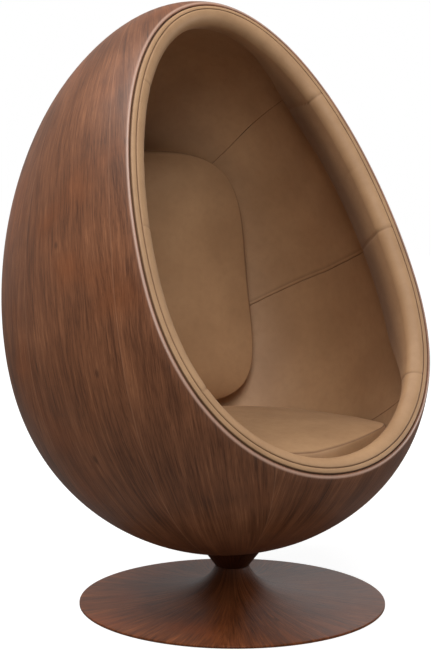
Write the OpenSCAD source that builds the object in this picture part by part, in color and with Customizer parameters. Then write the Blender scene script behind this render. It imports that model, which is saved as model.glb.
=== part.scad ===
// Pod chair: a leather-lined egg of moulded veneer that turns on a flared disc base.
// Millimetres. The origin is the centre of the base on the floor, +Z is up and
// the mouth of the pod faces -Y.

/* [Pod] */
// Half of the greatest width of the pod
pod_half_w = 445; // [400:1:490]
// Depth of the pod behind its own axis
pod_back = 345; // [310:1:380]
// Depth of the pod in front of its own axis, before the mouth is cut
pod_front = 547; // [500:1:600]
// Length of the axis above the widest ring
pod_above = 715; // [640:1:780]
// Length of the axis below the widest ring
pod_below = 488; // [450:1:530]
// Lean of the axis back from upright, in degrees
pod_lean = 25.8; // [22:0.1:29]
// Forward bow of the axis at the tip
axis_bow = 157; // [120:1:190]
// Distance from the axis forward to the plane of the mouth
mouth_front = 357.5; // [330:0.5:385]
// Wall of the veneered shell
shell_t = 6.5; // [5:0.5:10]
// Depth from the outside of the shell to the face of the lining
lining_depth = 36; // [28:1:44]

/* [Edge of the mouth] */
// Radius of the padded roll
roll_r = 23.3; // [20:0.1:26]
// Distance of the middle of the roll in from the lip
roll_in = 21.5; // [20:0.5:25]
// Distance of the middle of the roll behind the lip
roll_behind = 19.5; // [16:0.5:22]
// How far the leather band stands in front of the wooden lip
band_proud = 4; // [2:0.5:6]
// Depth of the plywood tack ring behind the band
tack_depth = 25; // [18:1:30]

/* [Lining seams] */
// Height on the axis of the seam under the head panel
seam_head = 500; // [450:1:540]
// Height on the axis of the seam between the side panels
seam_side = 150; // [100:1:200]
// Depth below the widest ring of the seam round the seat well
seam_well = 236; // [215:1:255]

/* [Seat] */
// Height of the top of the seat deck above the floor
deck_z = 258; // [240:1:275]
// Thickness of the seat deck
deck_t = 15; // [9:1:18]
// Height of the upper edge of the seat cushion above the floor
seat_edge_z = 370; // [355:1:385]
// Crown of the seat cushion above its edge
seat_crown = 26; // [15:1:30]
// Radius of the front of the seat cushion
seat_front_r = 397; // [380:1:420]
// Distance of the centre of that radius behind the neck
seat_front_y = 97; // [85:1:115]

/* [Back cushion] */
// Half of the width of the back cushion
back_half_w = 256; // [230:1:275]
// Height of its lower edge above the floor
back_low_z = 403; // [400:1:420]
// Height of its upper edge above the floor
back_top_z = 994; // [930:1:1020]
// Thickness at its edge
back_edge_t = 58; // [45:1:75]
// Crown of its front face
back_crown = 26; // [12:1:32]

/* [Base] */
// Radius of the base
base_r = 330; // [290:1:360]
// Thickness of the base cover at its rim
rim_t = 5; // [4:0.5:8]
// Rise of the disc from its rim to the foot of the flare
disc_rise = 9; // [7:0.5:14]
// Radius of the waist of the neck
waist_r = 36.5; // [35:0.5:44]
// Height of the waist above the floor
waist_z = 78; // [76:0.5:84]
// Wall of the base cover at the neck
cover_t = 3; // [2:0.5:4]
// Thickness of the felt pad
pad_t = 1.5; // [1:0.5:3]
// Width of the cover that stands out past the steel base plate
plate_margin = 45; // [40:1:90]
// Thickness of the steel base plate
plate_t = 4; // [3:0.5:5]

/* [Swivel] */
// Outer radius of the support post
post_r = 27; // [25:0.5:29]
// Height of the top of the support post
post_top = 60; // [56:0.5:62]
// Radius of the spindle
spindle_r = 14; // [12:0.5:16]
// Wall of the bushes
bush_wall = 6; // [4:0.5:7]
// Radius of the bearing balls
ball_r = 3; // [2.5:0.25:3.25]
// Number of bearing balls
ball_count = 14; // [8:1:16]
// Height of the underside of the pod above the floor
pod_z0 = 112; // [111:0.5:118]
// Radius of the top of the neck collar
collar_r = 56; // [54:0.5:64]
// Thickness of the mounting plate
mount_t = 8; // [6:0.5:9]
// Radius of the mounting plate
mount_r = 46; // [44:0.5:48]
// Radius of the circle of mounting bolts
bolt_circle_r = 34; // [31:0.5:36]
// Radius of the mounting bolts
bolt_r = 4; // [3:0.5:5]

/* [Hidden] */

// Colours
walnut = [0.42, 0.25, 0.17];
leather = [0.6, 0.43, 0.28];
steel = [0.55, 0.56, 0.58];
bronze = [0.72, 0.55, 0.3];
ply = [0.78, 0.66, 0.48];
felt = [0.15, 0.15, 0.15];

// Roundness of the outline: 2 is an ellipse, more is fuller
low_power = 2.17;
tip_power = 1.9;
tip_root = 2;

// Fits
overrun = 1;
running_gap = 0.05;
seat_gap = 0.3;
facet_gap = 3;
ply_gap = 1.6;
cushion_gap = 2;
seam_gap = 0.6;

// Facets
round_fn = 96;
fine_fn = 48;
loop_n = 56;
shell_rings = 20;
inner_rings = 21;
lip_steps = 4;
roll_steps = 10;
panel_cols = 18;
panel_rows = 7;

// Where the pod stands: its lowest point lies over the neck
probe = 600;
low_points = [for (k = [0 : probe - 1])
    let (s = -pod_below * k / probe, q = bow(s) + half_d(s, 0, 1))
    [s * cos(pod_lean) - q * sin(pod_lean), s * sin(pod_lean) + q * cos(pod_lean)]];
low_drop = min([for (p = low_points) p[0]]);
low_behind = [for (p = low_points) if (p[0] == low_drop) p[1]][0];
pod_y = -low_behind;
pod_z = pod_z0 - low_drop;

// Lining and deck
mouth_back = roll_behind + roll_r + seat_gap;
lining_out = shell_t + facet_gap;
deck_y = 10;
cushion_in = lining_depth + cushion_gap;
deck_ring_t = 18;
ring_bottom = deck_z - deck_t - deck_ring_t;
deck_ring_w = 34;
deck_screw_count = 8;
screw_r = 2;
screw_head_r = 4;
screw_head_h = 2.5;
screw_length = 28;

// Swivel heights, from the floor up
plate_r = base_r - plate_margin;
plate_top = pad_t + plate_t;
flange_t = 8;
flange_r = 66;
flange_bolt_r = 4;
flange_head_h = 6;
flange_head_r = 6.5;
flange_circle_r = (flange_r + post_r) / 2;
flange_count = 6;
flange_top = plate_top + flange_t;
bush_h = 18;
bush_flange_t = 2;
bush_flange_w = 4;
bush_r = spindle_r + bush_wall;
race_t = 3;
race_clearance = 1.2;
race_land = 3;
race_in = spindle_r + race_clearance;
race_out = race_in + 2 * (ball_r + race_land);
lower_race_z = post_top + bush_flange_t;
ball_z = lower_race_z + race_t + ball_r + running_gap;
ball_circle_r = (race_in + race_out) / 2;
upper_race_z = ball_z + ball_r + running_gap;
shoulder_z = upper_race_z + race_t;
shoulder_w = 6;
shoulder_r = spindle_r + shoulder_w;
mount_top = pod_z0 - seat_gap;
mount_z = mount_top - mount_t;
spindle_clearance = 2;
spindle_end = plate_top + spindle_clearance;
spindle_nose = 1;
clip_t = 1.8;
clip_groove = 1.4;
clip_w = 4;
clip_z = flange_top - clip_t - seat_gap;
clip_r = spindle_r + clip_w;
lower_bush_z = flange_top;
collar_z = waist_z + seat_gap * 2;
collar_t = 8;
block_r = 74;
block_rise = 38;
block_top = pod_z0 + block_rise;
inner_plate_t = 6;
inner_plate_r = 70;
washer_t = 1.6;
washer_r = 9;
bolt_count = 4;
bolt_head_h = 8;
bolt_head_r = 6.5;
bolt_clearance = 0.5;

// The egg. A place on it has a height s along the leaning axis, a distance q
// behind that axis and a distance x to the side; inset is a depth below the surface.
function reach(s, inset) = (s < 0 ? pod_below : pod_above) - inset;
function swell(s, inset) = let (k = min(1, abs(s) / reach(s, inset)))
    s < 0 ? pow(1 - pow(k, low_power), 1 / low_power) : pow(1 - pow(k, tip_power), 1 / tip_root);
function half_w(s, inset) = (pod_half_w - inset) * swell(s, inset);
function half_d(s, inset, side) = ((side < 0 ? pod_front : pod_back) - inset) * swell(s, inset);
function bow(s) = -axis_bow * pow(s / pod_above, 2);
function in_room(x, q, s) = [
    x,
    pod_y + s * sin(pod_lean) + q * cos(pod_lean),
    pod_z + s * cos(pod_lean) - q * sin(pod_lean)
];

// Place where f turns from negative at lo to positive at hi
function root(f, lo, hi, n = 22) = let (m = (lo + hi) / 2)
    n == 0 ? m : f(m) > 0 ? root(f, lo, m, n - 1) : root(f, m, hi, n - 1);

// Less than 0 inside the egg, more than 0 outside it
function outside(p, inset) = let (
    y = p[1] - pod_y,
    z = p[2] - pod_z,
    s = y * sin(pod_lean) + z * cos(pod_lean),
    q = y * cos(pod_lean) - z * sin(pod_lean) - bow(s)
) abs(s) >= reach(s, inset) ? 1
    : pow(p[0] / half_w(s, inset), 2) + pow(q / half_d(s, inset, q), 2) - 1;

// Point at height s and at angle a round the axis: 90 is the back, -90 the front
function on_wall(s, a, inset) = in_room(
    half_w(s, inset) * cos(a),
    bow(s) + half_d(s, inset, sin(a)) * sin(a),
    s
);

// The ring where a plane at q, parallel to the mouth, cuts the egg
function ring_end(q, inset, way) = root(
    function (s) abs(q - bow(s)) - half_d(s, inset, q - bow(s)), 0, way * reach(way, inset));
function side_at(q, s, inset) = let (e = q - bow(s), d = max(half_d(s, inset, e), seam_gap / probe))
    half_w(s, inset) * sqrt(max(0, 1 - pow(e / d, 2)));
function mouth_ring(q, inset) = let (
    top = ring_end(q, inset, 1),
    low = ring_end(q, inset, -1)
) [for (j = [0 : loop_n - 1]) let (
    a = 360 * j / loop_n,
    s = (top + low) / 2 + (top - low) / 2 * cos(a)
) [sign(sin(a)) * side_at(q, s, inset), s]];
function ring_points(q, inset) = [for (p = mouth_ring(q, inset)) in_room(p[0], q, p[1])];

// The line of the lip, and a line at a distance in from it and behind it
lip_line = mouth_ring(-mouth_front, 0);
lip_inside = mouth_ring(-mouth_front, shell_t);
lip_inward = [for (j = [0 : loop_n - 1]) let (
    t = lip_line[(j + 1) % loop_n] - lip_line[(j + loop_n - 1) % loop_n]
) [-t[1], t[0]] / norm(t)];
function beside_lip(j, in, behind) = let (p = lip_line[j] - lip_inward[j] * in)
    in_room(p[0], behind - mouth_front, p[1]);

// Meshes from rows of points. In each row the points run round the piece.
function quad(a, b, c, d) = [[a, c, b], [a, d, c]];
function reversed(list) = [for (k = [len(list) - 1 : -1 : 0]) list[k]];
function middle(row) = [for (k = [0 : 2]) [for (p = row) p[k]] * [for (p = row) 1] / len(row)];
module lofted(rows, first = undef, last = undef) {
    m = len(rows);
    n = len(rows[0]);
    ends = [is_undef(first) ? middle(rows[0]) : first, is_undef(last) ? middle(rows[m - 1]) : last];
    points = concat([for (r = rows) each r], ends);
    faces = concat(
        [for (k = [0 : m - 2]) for (j = [0 : n - 1]) let (i = (j + 1) % n)
            each quad(k * n + j, k * n + i, (k + 1) * n + i, (k + 1) * n + j)],
        [for (j = [0 : n - 1]) [m * n, j, (j + 1) % n]],
        [for (j = [0 : n - 1]) [m * n + 1, (m - 1) * n + (j + 1) % n, (m - 1) * n + j]]
    );
    polyhedron(points, faces);
}
module hoop(rows) {
    m = len(rows);
    n = len(rows[0]);
    polyhedron([for (r = rows) each r], [
        for (k = [0 : m - 1]) for (j = [0 : n - 1]) let (i = (j + 1) % n, l = (k + 1) % m)
            each quad(k * n + j, k * n + i, l * n + i, l * n + j)
    ]);
}
module slab(face, back) {
    m = len(face);
    n = len(face[0]);
    function at(k, j) = k * n + j;
    function under(k, j) = m * n + k * n + j;
    polyhedron(concat([for (r = face) each r], [for (r = back) each r]), concat(
        [for (k = [0 : m - 2]) for (j = [0 : n - 2])
            each quad(at(k, j), at(k, j + 1), at(k + 1, j + 1), at(k + 1, j))],
        [for (k = [0 : m - 2]) for (j = [0 : n - 2])
            each quad(under(k, j), under(k + 1, j), under(k + 1, j + 1), under(k, j + 1))],
        [for (j = [0 : n - 2]) each quad(at(0, j), under(0, j), under(0, j + 1), at(0, j + 1))],
        [for (j = [0 : n - 2])
            each quad(at(m - 1, j), at(m - 1, j + 1), under(m - 1, j + 1), under(m - 1, j))],
        [for (k = [0 : m - 2]) each quad(at(k, 0), at(k + 1, 0), under(k + 1, 0), under(k, 0))],
        [for (k = [0 : m - 2])
            each quad(at(k, n - 1), under(k, n - 1), under(k + 1, n - 1), at(k + 1, n - 1))]
    ));
}
module ring_of(count, r, start = 0) {
    for (k = [0 : count - 1]) rotate([0, 0, start + 360 * k / count]) translate([r, 0, 0]) children();
}
module tube(z, h, r_out, r_in, fn = fine_fn) {
    translate([0, 0, z]) difference() {
        cylinder(h = h, r = r_out, $fn = fn);
        translate([0, 0, -overrun]) cylinder(h = h + 2 * overrun, r = r_in, $fn = fn);
    }
}

// Base

module floor_pad() {
    color(felt) cylinder(h = pad_t, r = base_r - rim_t, $fn = round_fn);
}

module base_plate() {
    color(steel) difference() {
        translate([0, 0, pad_t]) cylinder(h = plate_t, r = plate_r, $fn = round_fn);
        ring_of(flange_count, flange_circle_r)
            translate([0, 0, pad_t - overrun])
                cylinder(h = plate_t + 2 * overrun, r = flange_bolt_r + running_gap, $fn = fine_fn);
    }
}

// Height of the flare at a share of the way from the waist to the rim
flare_steep = 13;
flare_steps = 22;
flare_share = [for (k = [0 : flare_steps]) pow(k / flare_steps, 2)];
function flare_r(share, wall) = waist_r - wall + (base_r - waist_r) * share;
function flare_z(share) = let (
    low = pad_t + rim_t,
    foot = low + disc_rise,
    curl = (1 - share) / (1 + flare_steep * share)
) low + disc_rise * (1 - share) + (waist_z - foot) * curl * (1 - share / 2);

module base_cover() {
    lid_z = plate_top + seat_gap;
    color(walnut) rotate_extrude($fn = round_fn) polygon(concat(
        [for (f = flare_share) [flare_r(f, 0), flare_z(f)]],
        [[base_r, pad_t], [plate_r + seat_gap, pad_t], [plate_r + seat_gap, lid_z]],
        [for (k = [flare_steps : -1 : 0]) let (f = flare_share[k], z = flare_z(f) - cover_t)
            if (z > lid_z && flare_r(f, cover_t) < plate_r)
                [flare_r(f, cover_t), f == 0 ? waist_z : z]]
    ));
}

module post_flange() {
    color(steel) difference() {
        tube(plate_top, flange_t, flange_r, post_r + running_gap);
        ring_of(flange_count, flange_circle_r) translate([0, 0, plate_top - overrun])
            cylinder(h = flange_t + 2 * overrun, r = flange_bolt_r + running_gap, $fn = fine_fn);
    }
}

module flange_screws() {
    color(steel) ring_of(flange_count, flange_circle_r) {
        translate([0, 0, pad_t]) cylinder(h = plate_t + flange_t, r = flange_bolt_r, $fn = fine_fn);
        translate([0, 0, flange_top]) difference() {
            cylinder(h = flange_head_h, r = flange_head_r, $fn = fine_fn);
            translate([0, 0, flange_head_h / 2])
                cylinder(h = flange_head_h, r = flange_bolt_r, $fn = 6);
        }
    }
}

module support_post() {
    color(steel) tube(plate_top, post_top - plate_top, post_r, bush_r + running_gap);
}

module lower_bush() {
    color(bronze) tube(lower_bush_z, bush_h, bush_r, spindle_r + running_gap);
}

module upper_bush() {
    color(bronze) union() {
        tube(post_top - bush_h, bush_h, bush_r, spindle_r + running_gap);
        tube(post_top, bush_flange_t, bush_r + bush_flange_w, spindle_r + running_gap);
    }
}

module lower_race() {
    color(steel) tube(lower_race_z, race_t, race_out, race_in);
}

module bearing_cage() {
    cage_t = ball_r;
    color(bronze) difference() {
        tube(ball_z - cage_t / 2, cage_t, race_out - seat_gap, race_in + seat_gap);
        ring_of(ball_count, ball_circle_r) translate([0, 0, ball_z - ball_r])
            cylinder(h = 2 * ball_r, r = ball_r + running_gap, $fn = fine_fn);
    }
}

module bearing_balls() {
    color(steel) ring_of(ball_count, ball_circle_r)
        translate([0, 0, ball_z]) sphere(r = ball_r, $fn = fine_fn);
}

// Pod: the parts that turn

module upper_race() {
    color(steel) tube(upper_race_z, race_t, race_out, race_in);
}

module spindle() {
    color(steel) rotate_extrude($fn = fine_fn) polygon([
        [0, spindle_end],
        [spindle_r - spindle_nose, spindle_end],
        [spindle_r, spindle_end + spindle_nose],
        [spindle_r, clip_z - running_gap],
        [spindle_r - clip_groove, clip_z - running_gap],
        [spindle_r - clip_groove, clip_z + clip_t + running_gap],
        [spindle_r, clip_z + clip_t + running_gap],
        [spindle_r, shoulder_z],
        [shoulder_r, shoulder_z],
        [shoulder_r, mount_z],
        [spindle_r, mount_z],
        [spindle_r, mount_top],
        [0, mount_top]
    ]);
}

module spindle_clip() {
    slot = clip_groove * 4;
    color(steel) difference() {
        tube(clip_z, clip_t, clip_r, spindle_r - clip_groove + running_gap);
        translate([0, -slot / 2, clip_z - overrun]) cube([clip_r + overrun, slot, clip_t + 2 * overrun]);
    }
}

module mounting_plate() {
    color(steel) difference() {
        tube(mount_z, mount_t, mount_r, spindle_r + running_gap);
        bolt_holes(bolt_r + running_gap);
    }
}

module bolt_holes(r) {
    ring_of(bolt_count, bolt_circle_r, 180 / bolt_count) translate([0, 0, mount_z - overrun])
        cylinder(h = block_top + inner_plate_t - mount_z + 2 * overrun, r = r, $fn = fine_fn);
}

// Height of the underside of the pod, or of a surface inset from it, over a place on the floor
under_span = 160;
function under_z(x, y, inset) =
    root(function (z) -outside([x, y, z], inset), pod_z0 - under_span / 2, pod_z0 + under_span);
sector_n = 24;
disc_shares = [0.3, 0.6, 0.85, 1];
function disc_rows(r, inset) = [for (f = disc_shares) [for (j = [0 : sector_n - 1])
    let (a = 360 * j / sector_n, x = r * f * cos(a), y = r * f * sin(a)) [x, y, under_z(x, y, inset)]]];
function flat_rows(rows, z) = [for (r = reversed(rows)) [for (p = r) [p[0], p[1], z]]];

module neck_collar() {
    cut = disc_rows(collar_r + collar_t, -seat_gap);
    color(walnut) difference() {
        rotate_extrude($fn = round_fn) polygon([
            [shoulder_r + seat_gap, collar_z],
            [waist_r, collar_z],
            [collar_r, pod_z0 - seat_gap],
            [collar_r, pod_z0 + collar_t],
            [mount_r + seat_gap, pod_z0 + collar_t],
            [mount_r + seat_gap, mount_z - seat_gap],
            [shoulder_r + seat_gap, mount_z - seat_gap]
        ]);
        lofted(concat(cut, flat_rows(cut, pod_z0 + 2 * collar_t)));
    }
}

module shell() {
    function q_at(k, n, inset, start) = let (
        first = asin(start / (pod_front - inset)),
        a = first + (90 - first) * k / n
    ) ((a < 0 ? pod_front : pod_back) - inset) * sin(a);
    half = shell_t / 2;
    start = half - mouth_front;
    outer = [for (k = [shell_rings - 1 : -1 : 1]) ring_points(q_at(k, shell_rings, 0, start), 0)];
    lip = [for (k = [0 : lip_steps]) let (a = 180 * k / lip_steps)
        ring_points(start - half * sin(a), half - half * cos(a))];
    inner = [for (k = [1 : inner_rings - 1])
        ring_points(q_at(k, inner_rings, shell_t, start), shell_t)];
    color(walnut) difference() {
        lofted(
            reversed(concat(outer, lip, inner)),
            in_room(0, pod_back - shell_t, 0),
            in_room(0, pod_back, 0)
        );
        bolt_holes(bolt_r + bolt_clearance);
    }
}

module packing_block() {
    base = disc_rows(block_r, shell_t + ply_gap);
    color(ply) difference() {
        lofted(concat(base, flat_rows(base, block_top)));
        bolt_holes(bolt_r + bolt_clearance);
    }
}

module inner_plate() {
    color(steel) difference() {
        translate([0, 0, block_top]) cylinder(h = inner_plate_t, r = inner_plate_r, $fn = round_fn);
        bolt_holes(bolt_r + bolt_clearance);
    }
}

module mounting_bolts() {
    head_z = block_top + inner_plate_t + washer_t;
    tip_z = mount_z + seat_gap;
    color(steel) ring_of(bolt_count, bolt_circle_r, 180 / bolt_count) {
        translate([0, 0, tip_z]) cylinder(h = head_z - tip_z, r = bolt_r, $fn = fine_fn);
        translate([0, 0, head_z]) difference() {
            cylinder(h = bolt_head_h, r = bolt_head_r, $fn = fine_fn);
            translate([0, 0, bolt_head_h / 2]) cylinder(h = bolt_head_h, r = bolt_r, $fn = 6);
        }
    }
}

module bolt_washers() {
    color(steel) ring_of(bolt_count, bolt_circle_r, 180 / bolt_count)
        tube(block_top + inner_plate_t, washer_t, washer_r, bolt_r + running_gap);
}

// Edge of the mouth. The section of the roll is cut straight behind the band,
// from its front seam to a point on its back.
roll_front_angle = -96;
roll_back_angle = 150;
function roll_section(a, r) = [roll_in + r * cos(a), roll_behind + r * sin(a)];
roll_seam = roll_section(roll_front_angle, roll_r);
roll_heel = roll_section(roll_back_angle, roll_r);
function on_chord(behind, gap) = let (
    share = (behind - roll_seam[1]) / (roll_heel[1] - roll_seam[1])
) roll_seam[0] + (roll_heel[0] - roll_seam[0]) * share - gap;

module edge_roll() {
    color(leather) hoop([for (j = [0 : loop_n - 1]) [for (k = [0 : roll_steps]) let (
        p = roll_section(roll_front_angle + (roll_back_angle - roll_front_angle) * k / roll_steps, roll_r)
    ) beside_lip(j, p[0], p[1])]]);
}

// Across the band, and forward from the lip, as shares of its width and height
band_face_shares = [[0, 0], [0.17, 0.6], [0.5, 0.97], [1, 1]];
band_foot = 5;
module edge_band() {
    inner = on_chord(-band_proud, seam_gap);
    foot = on_chord(band_foot, seam_gap);
    color(leather) hoop([for (j = [0 : loop_n - 1]) let (
        wood = norm(lip_inside[j] - lip_line[j]) + seam_gap
    ) concat(
        [beside_lip(j, wood, band_foot)],
        [for (f = band_face_shares) beside_lip(j, wood + (inner - wood) * f[0], -band_proud * f[1])],
        [beside_lip(j, foot, band_foot)]
    )]);
}

module tack_ring() {
    front = band_foot + seat_gap;
    back = front + tack_depth;
    wall_front = ring_points(front - mouth_front, shell_t + ply_gap);
    wall_back = ring_points(back - mouth_front, shell_t + ply_gap);
    color(ply) hoop([for (j = [0 : loop_n - 1]) [
        wall_back[j],
        wall_front[j],
        beside_lip(j, on_chord(front, seam_gap * 1.5), front),
        beside_lip(j, on_chord(back, seam_gap * 1.5), back)
    ]]);
}

// Lining panels

front_q = mouth_back - mouth_front;
function mouth_angle(s, inset) = let (d = half_d(s, inset, front_q - bow(s)))
    asin(max(-1, min(1, (front_q - bow(s)) / d)));
function back_angle(s, inset) = acos(seam_gap / 2 / half_w(s, inset));
function deck_s(a, inset) = root(function (s) on_wall(s, a, inset)[2] - seat_foot,
    -reach(-1, inset), seam_side);

function mirrored(rows) = [for (r = rows) [for (p = reversed(r)) [-p[0], p[1], p[2]]]];

function upper_rows(inset) = [for (k = [panel_rows : -1 : 0]) let (
    s = seam_side + seam_gap / 2 + (seam_head - seam_side - seam_gap) * k / panel_rows,
    a0 = mouth_angle(s, inset),
    a1 = back_angle(s, inset)
) [for (j = [0 : panel_cols]) on_wall(s, a0 + (a1 - a0) * j / panel_cols, inset)]];

function lower_rows(inset) = [for (k = [panel_rows : -1 : 0]) let (
    s_at = function (a) let (low = max(seam_gap / 2 - seam_well, deck_s(a, inset)))
        low + (seam_side - seam_gap / 2 - low) * k / panel_rows,
    a0 = root(function (a) let (s = s_at(a)) bow(s) + half_d(s, inset, -1) * sin(a) - front_q, -90, 0),
    a1 = back_angle(0, inset)
) [for (j = [0 : panel_cols]) let (a = a0 + (a1 - a0) * j / panel_cols) on_wall(s_at(a), a, inset)]];

// The well panel closes the front of the seat well, below its seam and below the mouth
well_cols = 32;
well_rows = 4;
well_least = 6;
function well_top(a, inset) = let (
    top = -seam_well - seam_gap / 2,
    f = function (s) front_q - bow(s) - half_d(s, inset, -1) * sin(a)
) f(top) < 0 ? top : root(f, -reach(-1, inset), top);
function well_rows_at(inset) = let (
    end = root(function (a) deck_s(a, inset) + seam_well + well_least, -90, 90)
) [for (k = [0 : well_rows]) [for (j = [0 : well_cols]) let (
    a = end - (180 + 2 * end) * j / well_cols,
    fold = a < -90 ? -180 - a : a,
    low = deck_s(fold, inset),
    s = low + (well_top(fold, inset) - low) * k / well_rows
) on_wall(s, a, inset)]];

// The head panel covers the top from its seam forward to the roll
head_cols = 20;
head_rows = 12;
head_least = 8;
function head_rows_at(inset) = let (
    low = seam_head + seam_gap / 2,
    last = low + head_least,
    end = bow(last) + half_d(last, inset, 1)
) [for (k = [0 : head_rows]) let (
    q = front_q + (end - front_q) * sin(90 * k / head_rows),
    top = ring_end(q, inset, 1)
) [for (j = [0 : head_cols]) let (
    a = 90 - 180 * j / head_cols,
    s = low + (top - low) * cos(a)
) in_room(sign(a) * side_at(q, s, inset), q, s)]];

module lining(face, back) {
    color(leather) slab(face, back);
}
module head_lining() {
    lining(head_rows_at(lining_depth), head_rows_at(lining_out));
}
module upper_lining_right() {
    lining(upper_rows(lining_depth), upper_rows(lining_out));
}
module upper_lining_left() {
    lining(mirrored(upper_rows(lining_depth)), mirrored(upper_rows(lining_out)));
}
module lower_lining_right() {
    lining(lower_rows(lining_depth), lower_rows(lining_out));
}
module lower_lining_left() {
    lining(mirrored(lower_rows(lining_depth)), mirrored(lower_rows(lining_out)));
}
module well_lining() {
    lining(well_rows_at(lining_depth), well_rows_at(lining_out));
}

// Seat

function level_reach(a, z, inset) = root(
    function (r) outside([r * cos(a), deck_y + r * sin(a), z], inset), 0, pod_half_w + pod_back);
function level_outline(z, inset) = [for (j = [0 : loop_n - 1]) let (
    a = 360 * j / loop_n,
    r = level_reach(a, z, inset)
) [r * cos(a), deck_y + r * sin(a)]];

module deck_ring() {
    color(ply) difference() {
        translate([0, 0, ring_bottom]) linear_extrude(deck_ring_t) difference() {
            polygon(level_outline(ring_bottom, lining_out));
            polygon(level_outline(ring_bottom, lining_out + deck_ring_w));
        }
        deck_screw_set(running_gap);
    }
}

// Countersunk screws through the deck into its ring
module deck_screw_set(gap) {
    for (k = [0 : deck_screw_count - 1]) let (
        a = 360 * (k + 0.5) / deck_screw_count,
        r = level_reach(a, ring_bottom, lining_out + deck_ring_w / 2)
    ) translate([r * cos(a), deck_y + r * sin(a), deck_z]) {
        translate([0, 0, -screw_length - gap])
            cylinder(h = screw_length + gap, r = screw_r + gap, $fn = fine_fn);
        translate([0, 0, -screw_head_h])
            cylinder(h = screw_head_h, r1 = screw_r + gap, r2 = screw_head_r + gap, $fn = fine_fn);
    }
}

module seat_deck() {
    color(ply) difference() {
        translate([0, 0, deck_z - deck_t]) linear_extrude(deck_t)
            polygon(level_outline(deck_z - deck_t, lining_out));
        deck_screw_set(running_gap);
    }
}

module deck_screws() {
    color(steel) deck_screw_set(0);
}

// Seat cushion: a round cushion that fills the well, with a flatter front
seat_foot = deck_z + seat_gap;
seat_side_pull = 5;
seat_side_shares = [0, 0.05, 0.5, 0.95, 1];
seat_side_pull_shares = [2, 0.4, 1, 0.3, 0.6];
seat_top_shares = [0.93, 0.8, 0.6, 0.35, 0.12];
seat_foot_shares = [0.12, 0.6];
function front_reach(a) = let (m = deck_y - seat_front_y, c = m * sin(a))
    -c + sqrt(c * c - m * m + seat_front_r * seat_front_r);
function seat_row(z, pull, share) = [for (j = [0 : loop_n - 1]) let (
    a = 360 * j / loop_n,
    r = (min(level_reach(a, min(z, seat_edge_z), cushion_in), front_reach(a)) - pull) * share
) [r * cos(a), deck_y + r * sin(a), z]];
function crowned(share) = pow(1 - pow(share, 2.4), 0.75);

module seat_cushion() {
    h = seat_edge_z - seat_foot;
    color(leather) lofted(concat(
        [for (f = seat_foot_shares) seat_row(seat_foot, seat_side_pull, f)],
        [for (k = [0 : len(seat_side_shares) - 1])
            seat_row(seat_foot + h * seat_side_shares[k], seat_side_pull * seat_side_pull_shares[k], 1)],
        [for (f = seat_top_shares) seat_row(seat_edge_z + seat_crown * crowned(f), seat_side_pull, f)]
    ));
}

// Back cushion: a tall pad with round corners that leans on the lining
back_n = 48;
back_power_top = 3.5;
back_power_low = 5;
back_side_pull = 5;
back_face_shares = [0.12, 0.4, 0.65, 0.85, 0.96];
back_end_share = 0.97;
back_mid_z = (back_low_z + back_top_z) / 2;
function wall_y(x, z, inset) = root(function (y) outside([x, y, z], inset), deck_y, pod_half_w + pod_back);
function rounded(c, s) = let (n = s > 0 ? back_power_top : back_power_low)
    pow(pow(abs(c), n) + pow(abs(s), n), -1 / n);
function back_outline(a, share) = let (k = rounded(cos(a), sin(a)) * share)
    [back_half_w * k * cos(a), back_mid_z + (back_top_z - back_low_z) / 2 * k * sin(a)];
function back_edge_y(z) = let (
    s = max(-back_end_share, min(back_end_share, (z - back_mid_z) / (back_top_z - back_mid_z))),
    n = s > 0 ? back_power_top : back_power_low
) wall_y(back_half_w * pow(1 - pow(abs(s), n), 1 / n), z, cushion_in);
function back_front_row(share) = [for (j = [0 : back_n - 1]) let (
    p = back_outline(360 * j / back_n, share)
) [p[0], back_edge_y(p[1]) - back_edge_t - back_crown * crowned(share), p[1]]];
function back_rear_row(share) = [for (j = [0 : back_n - 1]) let (
    p = back_outline(360 * j / back_n, share)
) [p[0], wall_y(p[0], p[1], cushion_in), p[1]]];

module back_cushion() {
    pull = 1 - back_side_pull / back_half_w;
    front_edge = back_front_row(1);
    rear_edge = back_rear_row(1);
    waist = [for (j = [0 : back_n - 1]) let (p = back_outline(360 * j / back_n, pull))
        [p[0], (front_edge[j][1] + rear_edge[j][1]) / 2, p[1]]];
    color(leather) lofted(concat(
        [for (f = back_face_shares) back_rear_row(f)],
        [rear_edge, waist, front_edge],
        [for (f = reversed(back_face_shares)) back_front_row(f)]
    ));
}

floor_pad();
base_plate();
base_cover();
post_flange();
flange_screws();
support_post();
lower_bush();
upper_bush();
lower_race();
bearing_cage();
bearing_balls();
upper_race();
spindle();
spindle_clip();
mounting_plate();
neck_collar();
shell();
packing_block();
inner_plate();
mounting_bolts();
bolt_washers();
tack_ring();
edge_band();
edge_roll();
head_lining();
upper_lining_left();
upper_lining_right();
lower_lining_left();
lower_lining_right();
well_lining();
deck_ring();
seat_deck();
deck_screws();
seat_cushion();
back_cushion();
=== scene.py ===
"""Pod chair: a walnut-veneered egg lined with tan leather, on a flared disc base."""

import math

import bpy
import numpy as np
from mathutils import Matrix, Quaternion, Vector, noise


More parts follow.
